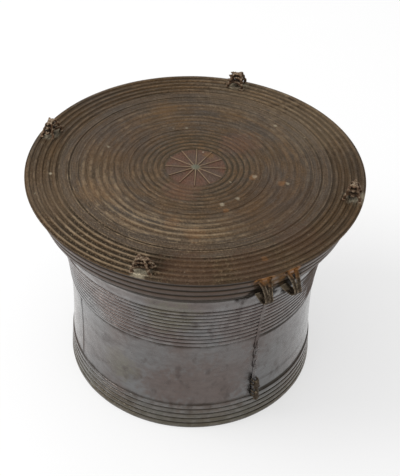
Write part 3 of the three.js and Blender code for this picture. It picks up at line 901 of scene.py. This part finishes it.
def head_patina():
    """The head: ringed olive-brown patina, dark grooves, rubbed crests and a red-brown star disc, with
    painted shade in the grooves and painted highlights and glints on the crests, strongest on the near side.
    """
    tint = colours()
    material, tree, shader, mottle = new_bronze("head_patina")
    grooves, zone = use_group(tree, "grooves"), head_zones(tree)
    arcs, lines, worn = (
        use_group(tree, "streaks", Upright=0.0, Along=along, Across=across).streak
        for along, across in ((3.0, 55.0), (3.5, 420.0), (3.0, 210.0))
    )
    # Painted shade in the grooves and painted highlights on rubbed crests grow to the near side and the far
    # rim
    sector = 0.3 + zone.nearest * 0.7 + zone.farthest * 0.5
    clear = between(zone.rim, 0.45 + zone.side * 0.55, sector)
    # Dirt in the grooves, deepened by painted shade on the near side, the nearest rim and the painted light
    # belt
    dirt = united([
        grooves.dirt * clear,
        zone.rim * grooves.groove * zone.nearest * 0.8,
        zone.painted_light_belt * grooves.groove * 0.45,
    ])
    rubbed = grooves.rubbed * (0.4 + zone.outer * 0.6)
    # Painted highlights on the crests of the painted light belt and of the nearest rim
    bright = zone.painted_light_belt | zone.rim * zone.nearest
    broken = worn * (0.4 + mottle.speckle * 0.6)
    painted_glint_grains = noise(tree, 330.0, 3.0).step(0.54, 0.68)
    specks = use_group(tree, "specks", Scale=95.0, Threshold=0.75).mask
    base = layered(blend(mottle.broad, tint.head, tint.head_grey), [
        (arcs, 0.6, tint.head_warm),
        (zone.grey, 0.6, tint.head_grey),
        (zone.disc, 0.9, tint.star),
        (zone.disc * noise(tree, 24.0, 5.0).step(0.4, 0.6), 0.55, tint.head_grey),
        (zone.rim, 0.3, dimmed(tint.head, 0.5)),
        (lines * zone.ringed, 0.65, dimmed(tint.head, 0.35)),
        (worn.step(0.45, 0.8) * zone.ringed, 0.25, tint.head_warm),
        (mottle.speckle, 0.5, dimmed(tint.head, 0.4)),
        (dirt, 0.9, tint.groove),
        # Rubbed crests: wear, brightened by painted highlights towards the near side and the far rim
        (rubbed * clear, 0.75, tint.head_wear_and_highlight),
        (grooves.sunk, 0.45, tint.groove),
        (zone.ringed * zone.inner * grooves.groove * (1 - zone.side), 0.6, dimmed(tint.olive, 0.3)),
        # Painted glints and highlights: broken streaks in the glint belt, crests, and grains on the near
        # side
        (broken.step(0.3, 0.75) * zone.glinting, 0.4, tint.head_wear_and_highlight),
        (grooves.crest * bright, 0.7, tint.head_wear_and_highlight),
        (painted_glint_grains * zone.outer * zone.side, 0.5, tint.head_wear_and_highlight),
        (grooves.raised, 0.8, tint.head_wear_and_highlight),
        (zone.boss, 0.85, tint.boss),
        *[(soil, 0.8, tint.dust) for soil in round_frogs(tree, 25 * MM, 0.2)],
        # Painted shade under the frogs' bellies
        *[(shade, 0.8, dimmed(tint.groove, 0.5)) for shade in round_frogs(tree, 13 * MM, -0.15)],
        *head_spots(tree),
        (specks, 0.5, tint.dust),
    ])
    finish_bronze(
        shader, 0.5 * MM, mottle.grain + mottle.speckle * 1.5,
        Base_Color=base,
        Metallic=(1 - (dirt | grooves.sunk)) * 0.7,
        Roughness=0.42 + mottle.fine * 0.2,
    )
    return material


def wall_patina():
    """The wall: satin mauve-brown with blue-grey clouds, a darker collar and an olive foot, with painted
    shade under the collar, behind the handles and on the right, and painted reflections on the left.
    """
    tint, wall = colours(), mantle_sizes()
    material, tree, shader, mottle = new_bronze("wall_patina")
    grooves = use_group(tree, "grooves")
    lines = use_group(tree, "streaks", Upright=1.0, Along=9.0, Across=150.0).streak
    here = position(tree)
    height, edge = here.height(), collar_edge()[0]
    shade_foot = edge - wall.shade_depth
    collar = height.step(edge - 1 * MM, edge + 1 * MM)
    # A band of painted shadow under the collar's edge
    under = height.band(shade_foot - 1 * MM, shade_foot + 2 * MM, edge, edge + 3 * MM)
    foot = 1 - height.step(5 * MM, 1.3 * foot_top())
    slant = {"Vector": here, "Rotation": (0.7, 0.5, 0.4), "Scale": (9.0, 55.0, 30.0)}
    smears = noise(tree, 1.0, 4.0, output_of(tree, "ShaderNodeMapping", slant)).step(0.52, 0.7)
    # Painted shade on the right of the wall: in the grooves and on the ribs' lower flanks; collar grooves
    # are dirt
    shaded_side = here.facing(SHADED_SIDE_ANGLE).step(0.66 * wall.waist_radius, 0.82 * wall.waist_radius)
    dirt = grooves.dirt * (1 - united(wall_patches(tree, CLEAN_RIBS)) * 0.7)
    groove_dirt_and_shade = grooves.groove * (shaded_side * (1 - collar) | collar)
    flanks = under_each_rib(height) * shaded_side
    dull = united(wall_patches(tree, SHADED_RIBS))
    # Painted shade behind the handles
    shade = united(shade_in_handles(tree))
    # Matt where there is dirt or the collar's patina, and where shade is painted, so that it stays dark
    matt = united([
        collar * 0.55, under * 0.7, dirt * 0.95, groove_dirt_and_shade * 0.95, shade * 0.95, flanks * 0.665, dull * 0.76,
    ])
    clouds = zip(wall_patches(tree, WALL_CLOUDS), WALL_CLOUDS)
    base = layered(blend(mottle.broad, tint.wall, tint.wall_blue), [
        *[(mask, strength, getattr(tint, name)) for mask, (*_, name, strength) in clouds],
        (smears, 0.7, dimmed(tint.wall, 0.5)),
        (foot, 0.7, tint.olive),
        (collar, 0.9, tint.collar),
        (lines, 0.25, dimmed(tint.wall, 0.5)),
        (mottle.fine, 0.2, dimmed(tint.wall, 0.55)),
        (dirt, 0.75, tint.groove),
        # Painted shade on the right-hand ribs
        (dull, 0.6, tint.collar),
        # Painted shade on the lower rib flanks on the right
        (flanks, 0.7, dimmed(tint.wall, 0.3)),
        # Dirt in the collar's grooves, and painted shade in the grooves on the right
        (groove_dirt_and_shade, 0.95, tint.groove),
        (grooves.rubbed * (1 - collar), 0.35, tint.wall_wear_and_sheen),
        # Painted shadow under the collar
        (under, 0.8, tint.groove),
        # Painted shade behind the handles, nearly black
        (shade, 0.95, dimmed(tint.groove, 0.4)),
        *[(rust, 0.75, tint.rust) for rust in rust_at_handles(tree, 25 * MM)],
        *[(soil, 0.6, tint.head_warm) for soil in wall_patches(tree, HANDLE_SOIL)],
    ])
    shader.inputs["Coat Roughness"].default_value = 0.16
    finish_bronze(
        shader, 0.2 * MM, mottle.grain + mottle.fine * 1.5,
        Base_Color=base,
        Metallic=(1 - matt) * 0.9,
        Roughness=0.16 + mottle.fine * 0.12 + collar * 0.15 + (shade | dull) * 0.6,
        Coat_Weight=(1 - (collar * 0.85 | under | foot | matt)) * 0.5,
    )
    return material


def cast_patina(name, tone, lit):
    """Frogs, handles and elephants: rough brown, with painted shade in the hollows, and tan wear and painted
    highlights where it stands out or faces up. Lit is how far faces that look up count as open to the sky."""
    tint = colours()
    material, tree, shader, mottle = new_bronze(name)
    surface = outputs_of(node(tree, "ShaderNodeNewGeometry"))
    upward = surface.normal.height()
    open_sky = output_of(tree, "ShaderNodeAmbientOcclusion", {"Distance": 22 * MM}, "AO", samples=8)
    sky = open_sky | upward.step(0.4, 0.8) * lit
    # Painted shade in the hollows
    hollow = 1 - sky.step(0.25, 0.7)
    # Pale crests: wear on sharp edges and painted highlights on faces that look up
    rubbed = surface.pointiness.step(0.5, 0.56) | upward.step(0.3, 0.9)
    crest = rubbed * sky.step(0.3, 0.75) * relief_value(tree) * mottle.speckle
    base = layered(blend(mottle.fine, tone, dimmed(tone, 0.5)), [
        (crest, 0.6, tint.cast_wear_and_highlight),
        (hollow, 0.92, dimmed(tint.groove, 0.4)),
        *[(rust, 0.7, tint.rust) for rust in rust_at_handles(tree, 17 * MM)],
        # Painted light on the handles' returns
        *[(painted_lit_lump, 0.7, tint.cast_wear_and_highlight) for painted_lit_lump in painted_light_on_returns(tree)],
    ])
    finish_bronze(
        shader, 0.5 * MM, mottle.grain + mottle.speckle,
        Base_Color=base,
        Metallic=(1 - hollow) * 0.5,
        Roughness=0.45 + mottle.fine * 0.2,
    )
    return material


def finish_named(name):
    """A material by name, built on first use."""
    tint = colours()
    builders = {
        "head_patina": head_patina,
        "wall_patina": wall_patina,
        "cast_patina": lambda: cast_patina(name, tint.cast, 0.0),
        "strap_patina": lambda: cast_patina(name, tint.strap, 0.65),
    }
    return bpy.data.materials.get(name) or builders[name]()


# Head

def ridge_points(section, start, width, floor, relief, least=0.0, groove=0.0):
    """One ridge of the head from its inner edge outwards, as (radius, height, relief) points. The
    relief value is the groove's on its floor and goes from the least one to 1 up the ridge."""
    points = []
    for at, rise in section:
        value = mixed(least, 1.0, rise) if rise else groove
        points.append((start + at * width, floor + rise * relief, value))
    return points


def head_profile():
    """The head's section: the smooth star disc, ridged bands outwards, the rim and the underside."""
    head = head_sizes()
    field_edge = head.radius - head.rim_zone
    unit = (field_edge - head.star_disc) / sum(count * width for count, width, _, _ in FIELD_ZONES)
    top = [(inward * head.star_disc, head.height, HALFWAY) for inward in (0.0, 0.5, 0.96)]
    start, floor = head.star_disc, head.height - head.groove_depth
    for count, width, is_round, groove in FIELD_ZONES:
        section = ROUND_RIDGE if is_round else BROAD_BAND
        for _ in range(count):
            top += ridge_points(section, start, width * unit, head.height, head.band_relief, SHALLOW, groove)
            start += width * unit
    pitch, relief = head.rim_zone / RIM_RIDGES, head.rim_relief + head.groove_depth
    for i in range(RIM_RIDGES):
        top += ridge_points(RIM_RIDGE, field_edge + i * pitch, pitch, floor, relief)
    top += [(head.radius - 0.3 * MM, head.height, 0.6), (head.radius, head.height - 0.6 * MM, 0.9)]
    underside = head.height - head.thickness
    return [*top, *[(inward * head.radius, underside, HALFWAY) for inward in (1.0, 0.5, 0.0)]]


def star(name):
    """Twelve thin rays on the star disc, each a ridge that tapers to its tip."""
    head = head_sizes()
    start_piece()
    bpy.ops.mesh.primitive_cube_add(size=1.0)
    piece = name_piece(name)
    for vertex in piece.data.vertices:
        is_tip, is_top = vertex.co.x > 0, vertex.co.z > 0
        radius = 0.97 * head.star_disc if is_tip else 0.5 * head.boss_radius
        width = head.ray_width * (0.75 if is_tip else 1.0) * (0.3 if is_top else 1.0)
        rise = head.ray_relief if is_top else -0.2 * MM
        vertex.co = (radius, vertex.co.y * width, head.height + rise)
    bpy.ops.object.mode_set(mode="EDIT")
    spin_round(STAR_RAYS, copies=True)
    # The rays' feet carry the sunk value, which paints a line of shade along each ray
    keep_relief(piece, [STANDING if vertex.co.z > head.height else SUNK for vertex in piece.data.vertices])
    return piece


class DRUM_OT_head(bpy.types.Operator):
    """Adds the banded head and its star"""

    bl_idname = "drum.head"
    bl_label = "Head"

    def execute(self, context):
        head = head_sizes()
        piece = spun("head", head_profile())
        unevenness(piece, 60 * MM, 0.5 * MM)
        hand_over(piece, "head_patina", "head_bronze", "tympanum")
        hand_over(star("star"), "head_patina", "head_bronze")
        boss = lump((0, 0, head.height), (head.boss_radius, head.boss_radius, head.boss_rise))
        name_piece("star_boss")
        keep_relief(boss, 0.7)
        hand_over(boss, "head_patina", "head_bronze")
        return {"FINISHED"}


# Wall

def rib_band():
    """Heights of the lower and the upper edge of the ribbed band."""
    wall = mantle_sizes()
    top = head_sizes().height - wall.rib_drop
    return top - RIB_COUNT * wall.rib_pitch, top


def foot_top():
    """Height of the upper edge of the foot's ridges."""
    return FOOT_RIDGES * mantle_sizes().foot_pitch


def neck_height():
    """Height of the foot of the undercut."""
    return head_sizes().height - mantle_sizes().neck_drop


def wall_radius(height):
    """The smooth wall from the foot through the waist to the neck."""
    wall = mantle_sizes()
    if height < wall.waist_height:
        flare = (1 - height / wall.waist_height) ** wall.foot_sweep
        return mixed(wall.waist_radius, wall.foot_radius, flare)
    climb = (height - wall.waist_height) / (neck_height() - wall.waist_height)
    return mixed(wall.waist_radius, wall.neck_radius, climb ** wall.neck_sweep)


def collar_edge():
    """Height and radius of the collar's lower edge."""
    wall, head = mantle_sizes(), head_sizes()
    return head.height - wall.collar_depth, head.radius - wall.rim_overhang - wall.collar_taper


def collar_radius(height):
    """The straight collar from its lower edge to the head."""
    bottom, radius = collar_edge()
    return radius + mantle_sizes().collar_taper * (height - bottom) / (mantle_sizes().top - bottom)


def ridged(radius_at, bottom, top, count, relief):
    """Ridges on a stretch of wall, as (radius, height, relief) points from the bottom up."""
    pitch = (top - bottom) / count
    points = []
    for i in range(count):
        for at, rise in FLAT_RIDGE:
            height = bottom + (i + at) * pitch
            points.append((radius_at(height) + rise * relief, height, rise))
    return points


def smooth_stretch(bottom, top, steps):
    """Plain wall between two heights, both left out."""
    heights = np.linspace(bottom, top, steps + 2)[1:-1]
    return [(wall_radius(height), height, PLAIN_WALL) for height in heights]


def undercut(steps):
    """The hollow curve from the neck out to the collar's edge."""
    neck = Vector((mantle_sizes().neck_radius, 0, neck_height()))
    bottom, radius = collar_edge()
    edge = Vector((radius, 0, bottom))
    corner = Vector((mixed(neck.x, edge.x, 0.1), 0, mixed(neck.z, edge.z, 0.8)))
    points = interpolate_bezier(neck, neck.lerp(corner, 2 / 3), edge.lerp(corner, 2 / 3), edge, steps)
    return [(point.x, point.z, PLAIN_WALL) for point in points]


def mantle_profile():
    """The wall's closed section: up the outside and down the inside."""
    wall, neck = mantle_sizes(), neck_height()
    rib_bottom, rib_top = rib_band()
    lip = collar_edge()[0] + wall.collar_lip
    collar_top = lip + COLLAR_RIDGES * wall.collar_pitch
    collar_ridges = ridged(collar_radius, lip, collar_top, COLLAR_RIDGES, wall.collar_relief)
    outside = [
        *ridged(wall_radius, 0.0, foot_top(), FOOT_RIDGES, wall.foot_relief),
        *smooth_stretch(foot_top(), rib_bottom, 14),
        *ridged(wall_radius, rib_bottom, rib_top, RIB_COUNT, wall.rib_relief),
        *smooth_stretch(rib_top, neck, 2),
        *undercut(10),
        *[point for point in collar_ridges if point[1] < wall.top],
        (collar_radius(wall.top), wall.top, INSIDE),
    ]
    inside = [
        (collar_radius(wall.top) - wall.wall, wall.top, INSIDE),
        *[(radius - wall.wall, height + wall.wall, INSIDE) for radius, height, _ in reversed(undercut(5))],
        *[(wall_radius(height) - wall.wall, height, INSIDE) for height in np.linspace(neck, 0.0, 12)[1:]],
    ]
    return [*outside, *inside, outside[0]]


class DRUM_OT_mantle(bpy.types.Operator):
    """Adds the waisted wall with its collar, ribs and ridged foot"""

    bl_idname = "drum.mantle"
    bl_label = "Mantle"

    def execute(self, context):
        piece = spun("wall", mantle_profile())
        unevenness(piece, 90 * MM, 1.2 * MM)
        hand_over(piece, "wall_patina", "wall_bronze", "mantle")
        return {"FINISHED"}


# Handles

def handle_strand(side):
    """The middle of one strand of a handle, in the plane of +X: out from its upper root to the
    crown, where it meets its neighbour, and back to the collar's edge."""
    size, head = figure_sizes(), head_sizes()
    top = head.height - size.handle_top
    crown = head.height - size.handle_crown
    bottom = collar_edge()[0] + size.handle_bottom
    reach = head.radius + size.handle_reach - size.strand_thickness / 2
    upper, lower = collar_radius(top), collar_radius(bottom)
    forked, together = size.handle_fork / 2, 0.46 * size.strand_width
    return smooth_path([
        (upper - size.strand_thickness / 2, side * forked, top),
        (mixed(upper, reach, 0.5), side * mixed(together, forked, 0.35), mixed(crown, top, 0.72)),
        (mixed(upper, reach, 0.83), side * together, mixed(crown, top, 0.35)),
        (reach, side * together, crown),
        (mixed(lower, reach, 0.7), side * together, mixed(crown, bottom, 0.75)),
        (lower - size.strand_thickness / 2, side * together, bottom),
    ], 26)


def strap(path, across, width, thickness):
    """A flat strap along a path: a dark rope between two rubbed, paler cords, on a thinner core. The relief
    values set how much rubbed wear and painted highlight each takes.
    """
    cord = 0.17 * width
    edges = [[point + across * side * (width / 2 - cord) for point in path] for side in (1, -1)]
    bars = (
        (cords("edge_cords", edges, cord), 0.7),
        (cords("core", [path], 0.3 * thickness), 0.0),
        (cords("rope", plait(path, across, 0.15 * width, 0.16 * thickness, width), 0.12 * width), 0.25),
    )
    for piece, relief in bars:
        keep_relief(piece, relief)
    return [piece for piece, _ in bars]


class DRUM_OT_handles(bpy.types.Operator):
    """Adds the two pairs of forked, corded handles"""

    bl_idname = "drum.handles"
    bl_label = "Handles"

    def execute(self, context):
        size = figure_sizes()
        wide, thick = size.strand_width, size.strand_thickness
        bars = []
        for side in (1, -1):
            path = handle_strand(side)
            bars += strap(path, Vector((0, 1, 0)), wide, thick)
            root = path[0] + Vector((0.6 * thick, 0, 0))
            bars.append(lump(root, (0.5 * thick, 0.55 * wide, 0.6 * thick)))
        foot = Vector((path[-1].x + 0.6 * thick, 0, path[-1].z))
        bars.append(lump(foot, (0.5 * thick, wide, 0.7 * thick)))
        places = {f"corded_{name}": degrees for name, degrees in HANDLE_ANGLES.items()}
        for piece, node_name in zip(set_round(joined("handle", bars), places), HANDLE_ANGLES):
            hand_over(piece, "strap_patina", "cast_bronze", node_name)
        return {"FINISHED"}


# Frogs

def leg_at(line, side, height):
    """A point on the line that the legs of a stack follow from the rim up, at a height above the
    head's plane."""
    size = figure_sizes()
    climb = height / (size.lower_rise + size.middle_rise + size.upper_rise)
    along, across = (mixed(foot, top, climb) * MM for foot, top in zip(*line))
    return Vector((along, side * across, height))


def limb(points, thickness):
    """A tapering leg through the points, with a flat foot at its end."""
    leg = bar("limb", points, 8, thickness, 1.2, 0.85)
    return [leg, lump(points[-1], (1.6 * thickness, 1.4 * thickness, 0.7 * thickness))]


def frog(name, long, body, feet):
    """A frog that faces +X with its head low: a slim body at one height above the head's plane on
    stout legs, whose feet are at another."""
    thick = 0.075 * long
    middle = (leg_at(FRONT_LEGS, 1, body).x + leg_at(HIND_LEGS, 1, body).x) / 2

    def part(along, up, radii, side=0.0, tilt=0.0):
        centre = (middle + along * long, side * long, body + up * long)
        return lump(centre, [radius * long for radius in radii], tilt)

    forms = [
        part(-0.05, -0.02, (0.36, 0.2, 0.105)),
        part(-0.03, 0.02, (0.22, 0.13, 0.08)),
        part(0.37, -0.01, (0.15, 0.11, 0.075), tilt=0.2),
        part(0.47, 0.02, (0.07, 0.07, 0.045)),
    ]
    for side in (1, -1):
        forms.append(part(0.36, 0.055, (0.038, 0.038, 0.038), side * 0.08))
        shoulder, foot = leg_at(FRONT_LEGS, side, body), leg_at(FRONT_LEGS, side, feet)
        elbow = shoulder.lerp(foot, 0.4) + Vector((0, side * 0.6 * thick, 0))
        forms += limb([shoulder * Vector((0.75, 0.5, 1)), elbow, foot], thick)
        hip, foot = leg_at(HIND_LEGS, side, body), leg_at(HIND_LEGS, side, feet)
        knee = hip + Vector((-0.6 * thick, side * 0.6 * thick, 0))
        forms += limb([hip * Vector((0.2, 0.5, 1)), knee, foot], 1.1 * thick)
    return cast_together(name, forms, 0.62 * MM, 2)


class DRUM_OT_frogs(bpy.types.Operator):
    """Adds the four stacks of three frogs on the rim"""

    bl_idname = "drum.frogs"
    bl_label = "Frogs"

    def execute(self, context):
        size, head = figure_sizes(), head_sizes()
        tiers = (
            ("lower", size.lower_frog, size.lower_rise),
            ("middle", size.middle_frog, size.middle_rise),
            ("upper", size.upper_frog, size.upper_rise),
        )
        plane = Vector((0, 0, head.height))
        onto_rim = Matrix.Translation(plane + Vector((head.radius - size.frog_inset, 0, 0)))
        base, feet = 0.0, head.rim_relief
        for tier, long, rise in tiers:
            body = base + 0.85 * rise
            piece = frog(f"frog_{tier}", long, body, feet)
            piece.data.transform(onto_rim @ Matrix.Rotation(TURN / 4, 4, "Z"))
            keep_relief(piece, CREST)
            places = {f"cast_frog_{i}_{tier}": degrees for i, degrees in enumerate(FROG_ANGLES, 1)}
            for made, name, share_left in zip(set_round(piece, places), places, STACK_HEIGHTS):
                lower = Matrix.Diagonal((1, 1, share_left, 1))
                made.data.transform(Matrix.Translation(plane) @ lower @ Matrix.Translation(-plane))
                hand_over(made, "cast_patina", "cast_bronze", name.removeprefix("cast_"), sharp=60)
            base, feet = base + rise, body
        return {"FINISHED"}


# Strip, animals and seams

def strip_bottom():
    """Height of the strip's lower end."""
    return foot_top() - figure_sizes().strip_tuck


def run_of_animals():
    """Each animal's node, middle height and length, and whether it is an elephant."""
    size = figure_sizes()
    top = rib_band()[0] - size.animal_drop
    unit = (top - strip_bottom()) / sum(berth for _, berth, _ in PROCESSION)
    for name, berth, is_elephant in PROCESSION:
        if name:
            yield name, top - berth * unit / 2, berth * unit - size.animal_gap, is_elephant
        top -= berth * unit


def snail(name, middle, long):
    """A spiral shell with its point up: one bar coiled up a cone."""
    radius = figure_sizes().snail_radius
    bottom = middle - long / 2
    coil = []
    for i in range(SNAIL_TURNS * COIL_STEPS + 1):
        t = i / (SNAIL_TURNS * COIL_STEPS)
        fullness = 1 - 0.85 * t
        height = bottom + 0.45 * radius + (long - 0.6 * radius) * (t - 0.425 * t * t) / 0.575
        turn = TURN * t * SNAIL_TURNS
        coil.append((
            wall_radius(height) + 2.6 * MM + 0.36 * radius * fullness * math.cos(turn),
            0.36 * radius * fullness * math.sin(turn), height, fullness,
        ))
    return cords(name, [coil], 0.62 * radius)


def elephant(name, middle, long):
    """An elephant walking head down, its feet on the wall."""
    stand = figure_sizes().elephant_stand
    girth = 0.34 * stand
    wall = wall_radius(middle) + 1.6 * MM
    belly = wall + stand - girth

    def at(along, out=0.0, side=0.0):
        return Vector((belly + out * girth, side * girth, middle + along * long))

    trunk = [at(-0.34), at(-0.47, -0.2), at(-0.5, -1.0), at(-0.47, -1.5)]
    forms = [
        lump(at(0.1), (girth, 1.1 * girth, 0.33 * long)),
        lump(at(-0.27, 0.1), (0.85 * girth, 0.78 * girth, 0.16 * long)),
        bar("trunk", trunk, 2, 0.36 * girth, 1.0, 0.4),
        bar("tail", [at(0.4, 0.3), at(0.47, -0.1), at(0.46, -0.9)], 4, 0.14 * girth),
    ]
    for side in (1, -1):
        forms.append(lump(at(-0.19, 0.25, side * 0.98), (0.26 * girth, 0.5 * girth, 0.14 * long)))
        tusk = [at(-0.36, 0, side * 0.4), at(-0.46, -0.1, side * 0.6)]
        forms.append(bar("tusk", tusk, 4, 0.13 * girth))
        for along in (-0.1, 0.3):
            hip, foot = at(along, 0, side * 0.6), at(along - 0.02, 0, side * 1.1)
            foot.x = wall - 1.5 * MM
            knee = hip.lerp(foot, 0.5) + Vector((0, side * 1.2 * MM, 0))
            forms.append(bar("leg", [hip, knee, foot], 6, 0.36 * girth))
    return cast_together(name, forms, 0.5 * MM)


class DRUM_OT_animals(bpy.types.Operator):
    """Adds the plaited strip and the snails and elephants that go down it"""

    bl_idname = "drum.animals"
    bl_label = "Strip and Animals"

    def execute(self, context):
        wall, size = mantle_sizes(), figure_sizes()
        rib_bottom, rib_top = rib_band()
        path = []
        for height in np.arange(strip_bottom(), neck_height(), 0.8 * MM):
            on_ribs = wall.rib_relief if rib_bottom < height < rib_top else 0.0
            path.append(Vector((wall_radius(height) + 0.8 * on_ribs + 0.3 * MM, 0, height)))
        woven = plait(path, Vector((0, 1, 0)), 0.32 * size.strip_width, 0.6 * MM, 9 * MM)
        pieces = {"animal_strip": cords("strip", woven, 0.18 * size.strip_width)}
        for name, middle, long, is_elephant in run_of_animals():
            model = elephant if is_elephant else snail
            pieces[name] = model(f"visual_{name}", middle, long)
        for name, piece in pieces.items():
            set_round(piece, {f"visual_{name}": STRIP_ANGLE})
            keep_relief(piece, CREST)
            finish = "strap_patina" if name.startswith("elephant") else "wall_patina"
            hand_over(piece, finish, "cast_bronze", name, sharp=60)
        return {"FINISHED"}


class DRUM_OT_seams(bpy.types.Operator):
    """Adds the plain seams of the waist"""

    bl_idname = "drum.seams"
    bl_label = "Seams"

    def execute(self, context):
        size = figure_sizes()
        bottom, top = foot_top() + size.seam_gap, rib_band()[0] - size.seam_gap
        path = [(wall_radius(height) - 0.6 * MM, 0, height) for height in np.linspace(bottom, top, 40)]
        seam = cords("seam", [path], size.seam_width / 2)
        keep_relief(seam, 0.6)
        places = {f"raised_{name}": degrees for name, degrees in SEAM_ANGLES.items()}
        for piece, node_name in zip(set_round(seam, places), SEAM_ANGLES):
            hand_over(piece, "wall_patina", "wall_bronze", node_name)
        return {"FINISHED"}


# Stage

class DrumStageSettings(bpy.types.PropertyGroup):
    """Where the photograph was taken from, and the studio's light."""

    bearing: angle("Bearing", "Camera's direction round the drum", -28.8)
    elevation: angle("Elevation", "Camera above the head's middle", 36.93)
    distance: length("Distance", "Camera from the head's middle", 2.0257)
    yaw: angle("Yaw", "Turn away from the head's middle", -0.344)
    pitch: angle("Pitch", "Tilt away from the head's middle", -3.753)
    roll: angle("Roll", "Lean of the camera", -1.782)
    focal: number("Focal length", "Lens in millimetres", 81.19, "CAMERA")
    floor_glow: number("Floor glow", "How far the floor is lifted to white where it is seen", 0.6)
    # The floor shadow is how much less the floor glows round the shaded point, a painted shadow
    floor_shadow: number("Floor fall", "How much less it is lifted to the right of the drum", 0.16)
    world_light: number("World light", "Strength of the surrounding white", 0.9)
    lamp_power: number("Lamp", "Power of the large lamp", 45.0, "POWER")


def add_camera():
    """The camera at the photograph's angle: it looks at the head's middle, then turns a little."""
    stage = bpy.context.scene.drum_stage
    bearing = math.degrees(stage.bearing)
    back = stage.distance * Vector(on_drum(math.cos(stage.elevation), bearing, math.sin(stage.elevation)))
    pose = (
        Matrix.Translation(back + Vector((0, 0, head_sizes().height)))
        @ (-back).to_track_quat("-Z", "Y").to_matrix().to_4x4()
        @ Matrix.Rotation(stage.yaw, 4, "Y")
        @ Matrix.Rotation(stage.pitch, 4, "X")
        @ Matrix.Rotation(-stage.roll, 4, "Z")
    )
    start_piece()
    bpy.ops.object.camera_add()
    camera = bpy.context.object
    camera.name = "photo_camera"
    camera.matrix_world = pose
    camera.data.lens = stage.focal
    camera.data.dof.use_dof = False
    bpy.context.scene.camera = camera
    return pose


def add_lamp(where):
    """A soft square lamp, aimed at the drum's middle."""
    start_piece()
    bpy.ops.object.light_add(type="AREA", location=where)
    lamp = bpy.context.object
    lamp.name = "key"
    lamp.data.shape = "SQUARE"
    lamp.data.size = LAMP_SIZE
    lamp.data.energy = bpy.context.scene.drum_stage.lamp_power
    lamp.rotation_mode = "QUATERNION"
    aim = Vector((0, 0, head_sizes().height / 2))
    lamp.rotation_quaternion = (aim - where).to_track_quat("-Z", "Y")


def add_floor(shaded):
    """A pale matt floor without an edge in view, with a painted shadow round one point."""
    stage = bpy.context.scene.drum_stage
    start_piece()
    bpy.ops.mesh.primitive_plane_add(size=FLOOR_SIZE)
    floor = name_piece("floor")
    material = bpy.data.materials.new("studio_floor")
    material.use_nodes = True
    tree = material.node_tree
    shader = tree.nodes["Principled BSDF"]
    shader.inputs["Base Color"].default_value = (*colours().floor, 1.0)
    shader.inputs["Roughness"].default_value = 0.9
    shader.inputs["Specular IOR Level"].default_value = 0.1
    glow = output_of(tree, "ShaderNodeEmission", {"Color": WHITE})
    rays = node(tree, "ShaderNodeLightPath").outputs
    seen = Output(rays["Is Camera Ray"]) | Output(rays["Is Glossy Ray"])
    gap = position(tree).vector_math("DISTANCE", shaded)
    # Less glow round the shaded point paints a soft shadow
    lit = seen * (stage.floor_glow - (1 - gap.step(0.1, 0.75)) * stage.floor_shadow)
    lifted = output_of(tree, "ShaderNodeMixShader", {0: lit, 1: Output(shader.outputs[0]), 2: glow})
    tree.links.new(lifted.socket, tree.nodes["Material Output"].inputs["Surface"])
    floor.data.materials.append(material)


class DRUM_OT_stage(bpy.types.Operator):
    """Adds the floor, the light and the camera at the photograph's angle"""

    bl_idname = "drum.stage"
    bl_label = "Stage"

    def execute(self, context):
        context.scene.view_settings.view_transform = "Standard"
        world = bpy.data.worlds.new("studio")
        world.use_nodes = True
        background = world.node_tree.nodes["Background"]
        background.inputs["Color"].default_value = WHITE
        background.inputs["Strength"].default_value = context.scene.drum_stage.world_light
        context.scene.world = world
        pose = add_camera()
        add_floor(pose.to_3x3() @ Vector(FLOOR_SHADE) * Vector((1, 1, 0)))
        add_lamp(pose @ Vector(LAMP_PLACE))
        return {"FINISHED"}


class DRUM_PT_sidebar(bpy.types.Panel):
    """Lists the drum's pieces and settings"""

    bl_label = "Bronze Drum"
    bl_idname = "DRUM_PT_sidebar"
    bl_space_type = "VIEW_3D"
    bl_region_type = "UI"
    bl_category = "Drum"

    def draw(self, context):
        for piece in OPERATORS:
            self.layout.operator(piece.bl_idname)
        for group in SETTINGS:
            settings = getattr(context.scene, group)
            self.layout.label(text=settings.bl_rna.description)
            for name in settings.__annotations__:
                self.layout.prop(settings, name)


SETTINGS = {
    "drum_head": DrumHeadSizes,
    "drum_mantle": DrumMantleSizes,
    "drum_figures": DrumFigureSizes,
    "drum_colours": DrumColours,
    "drum_stage": DrumStageSettings,
}
OPERATORS = (
    DRUM_OT_head, DRUM_OT_mantle, DRUM_OT_handles, DRUM_OT_frogs, DRUM_OT_animals, DRUM_OT_seams,
    DRUM_OT_stage,
)


def register():
    """Registers settings, operators and panel."""
    for cls in (*SETTINGS.values(), *OPERATORS, DRUM_PT_sidebar):
        bpy.utils.register_class(cls)
    for name, cls in SETTINGS.items():
        setattr(bpy.types.Scene, name, PointerProperty(type=cls))


def unregister():
    """Removes what register added."""
    for name in SETTINGS:
        delattr(bpy.types.Scene, name)
    for cls in reversed((*SETTINGS.values(), *OPERATORS, DRUM_PT_sidebar)):
        bpy.utils.unregister_class(cls)


def main():
    """Builds every piece in order."""
    register()
    bpy.ops.drum.head()
    bpy.ops.drum.mantle()
    bpy.ops.drum.handles()
    bpy.ops.drum.frogs()
    bpy.ops.drum.animals()
    bpy.ops.drum.seams()
    bpy.ops.drum.stage()


if __name__ == "__main__":
    main()
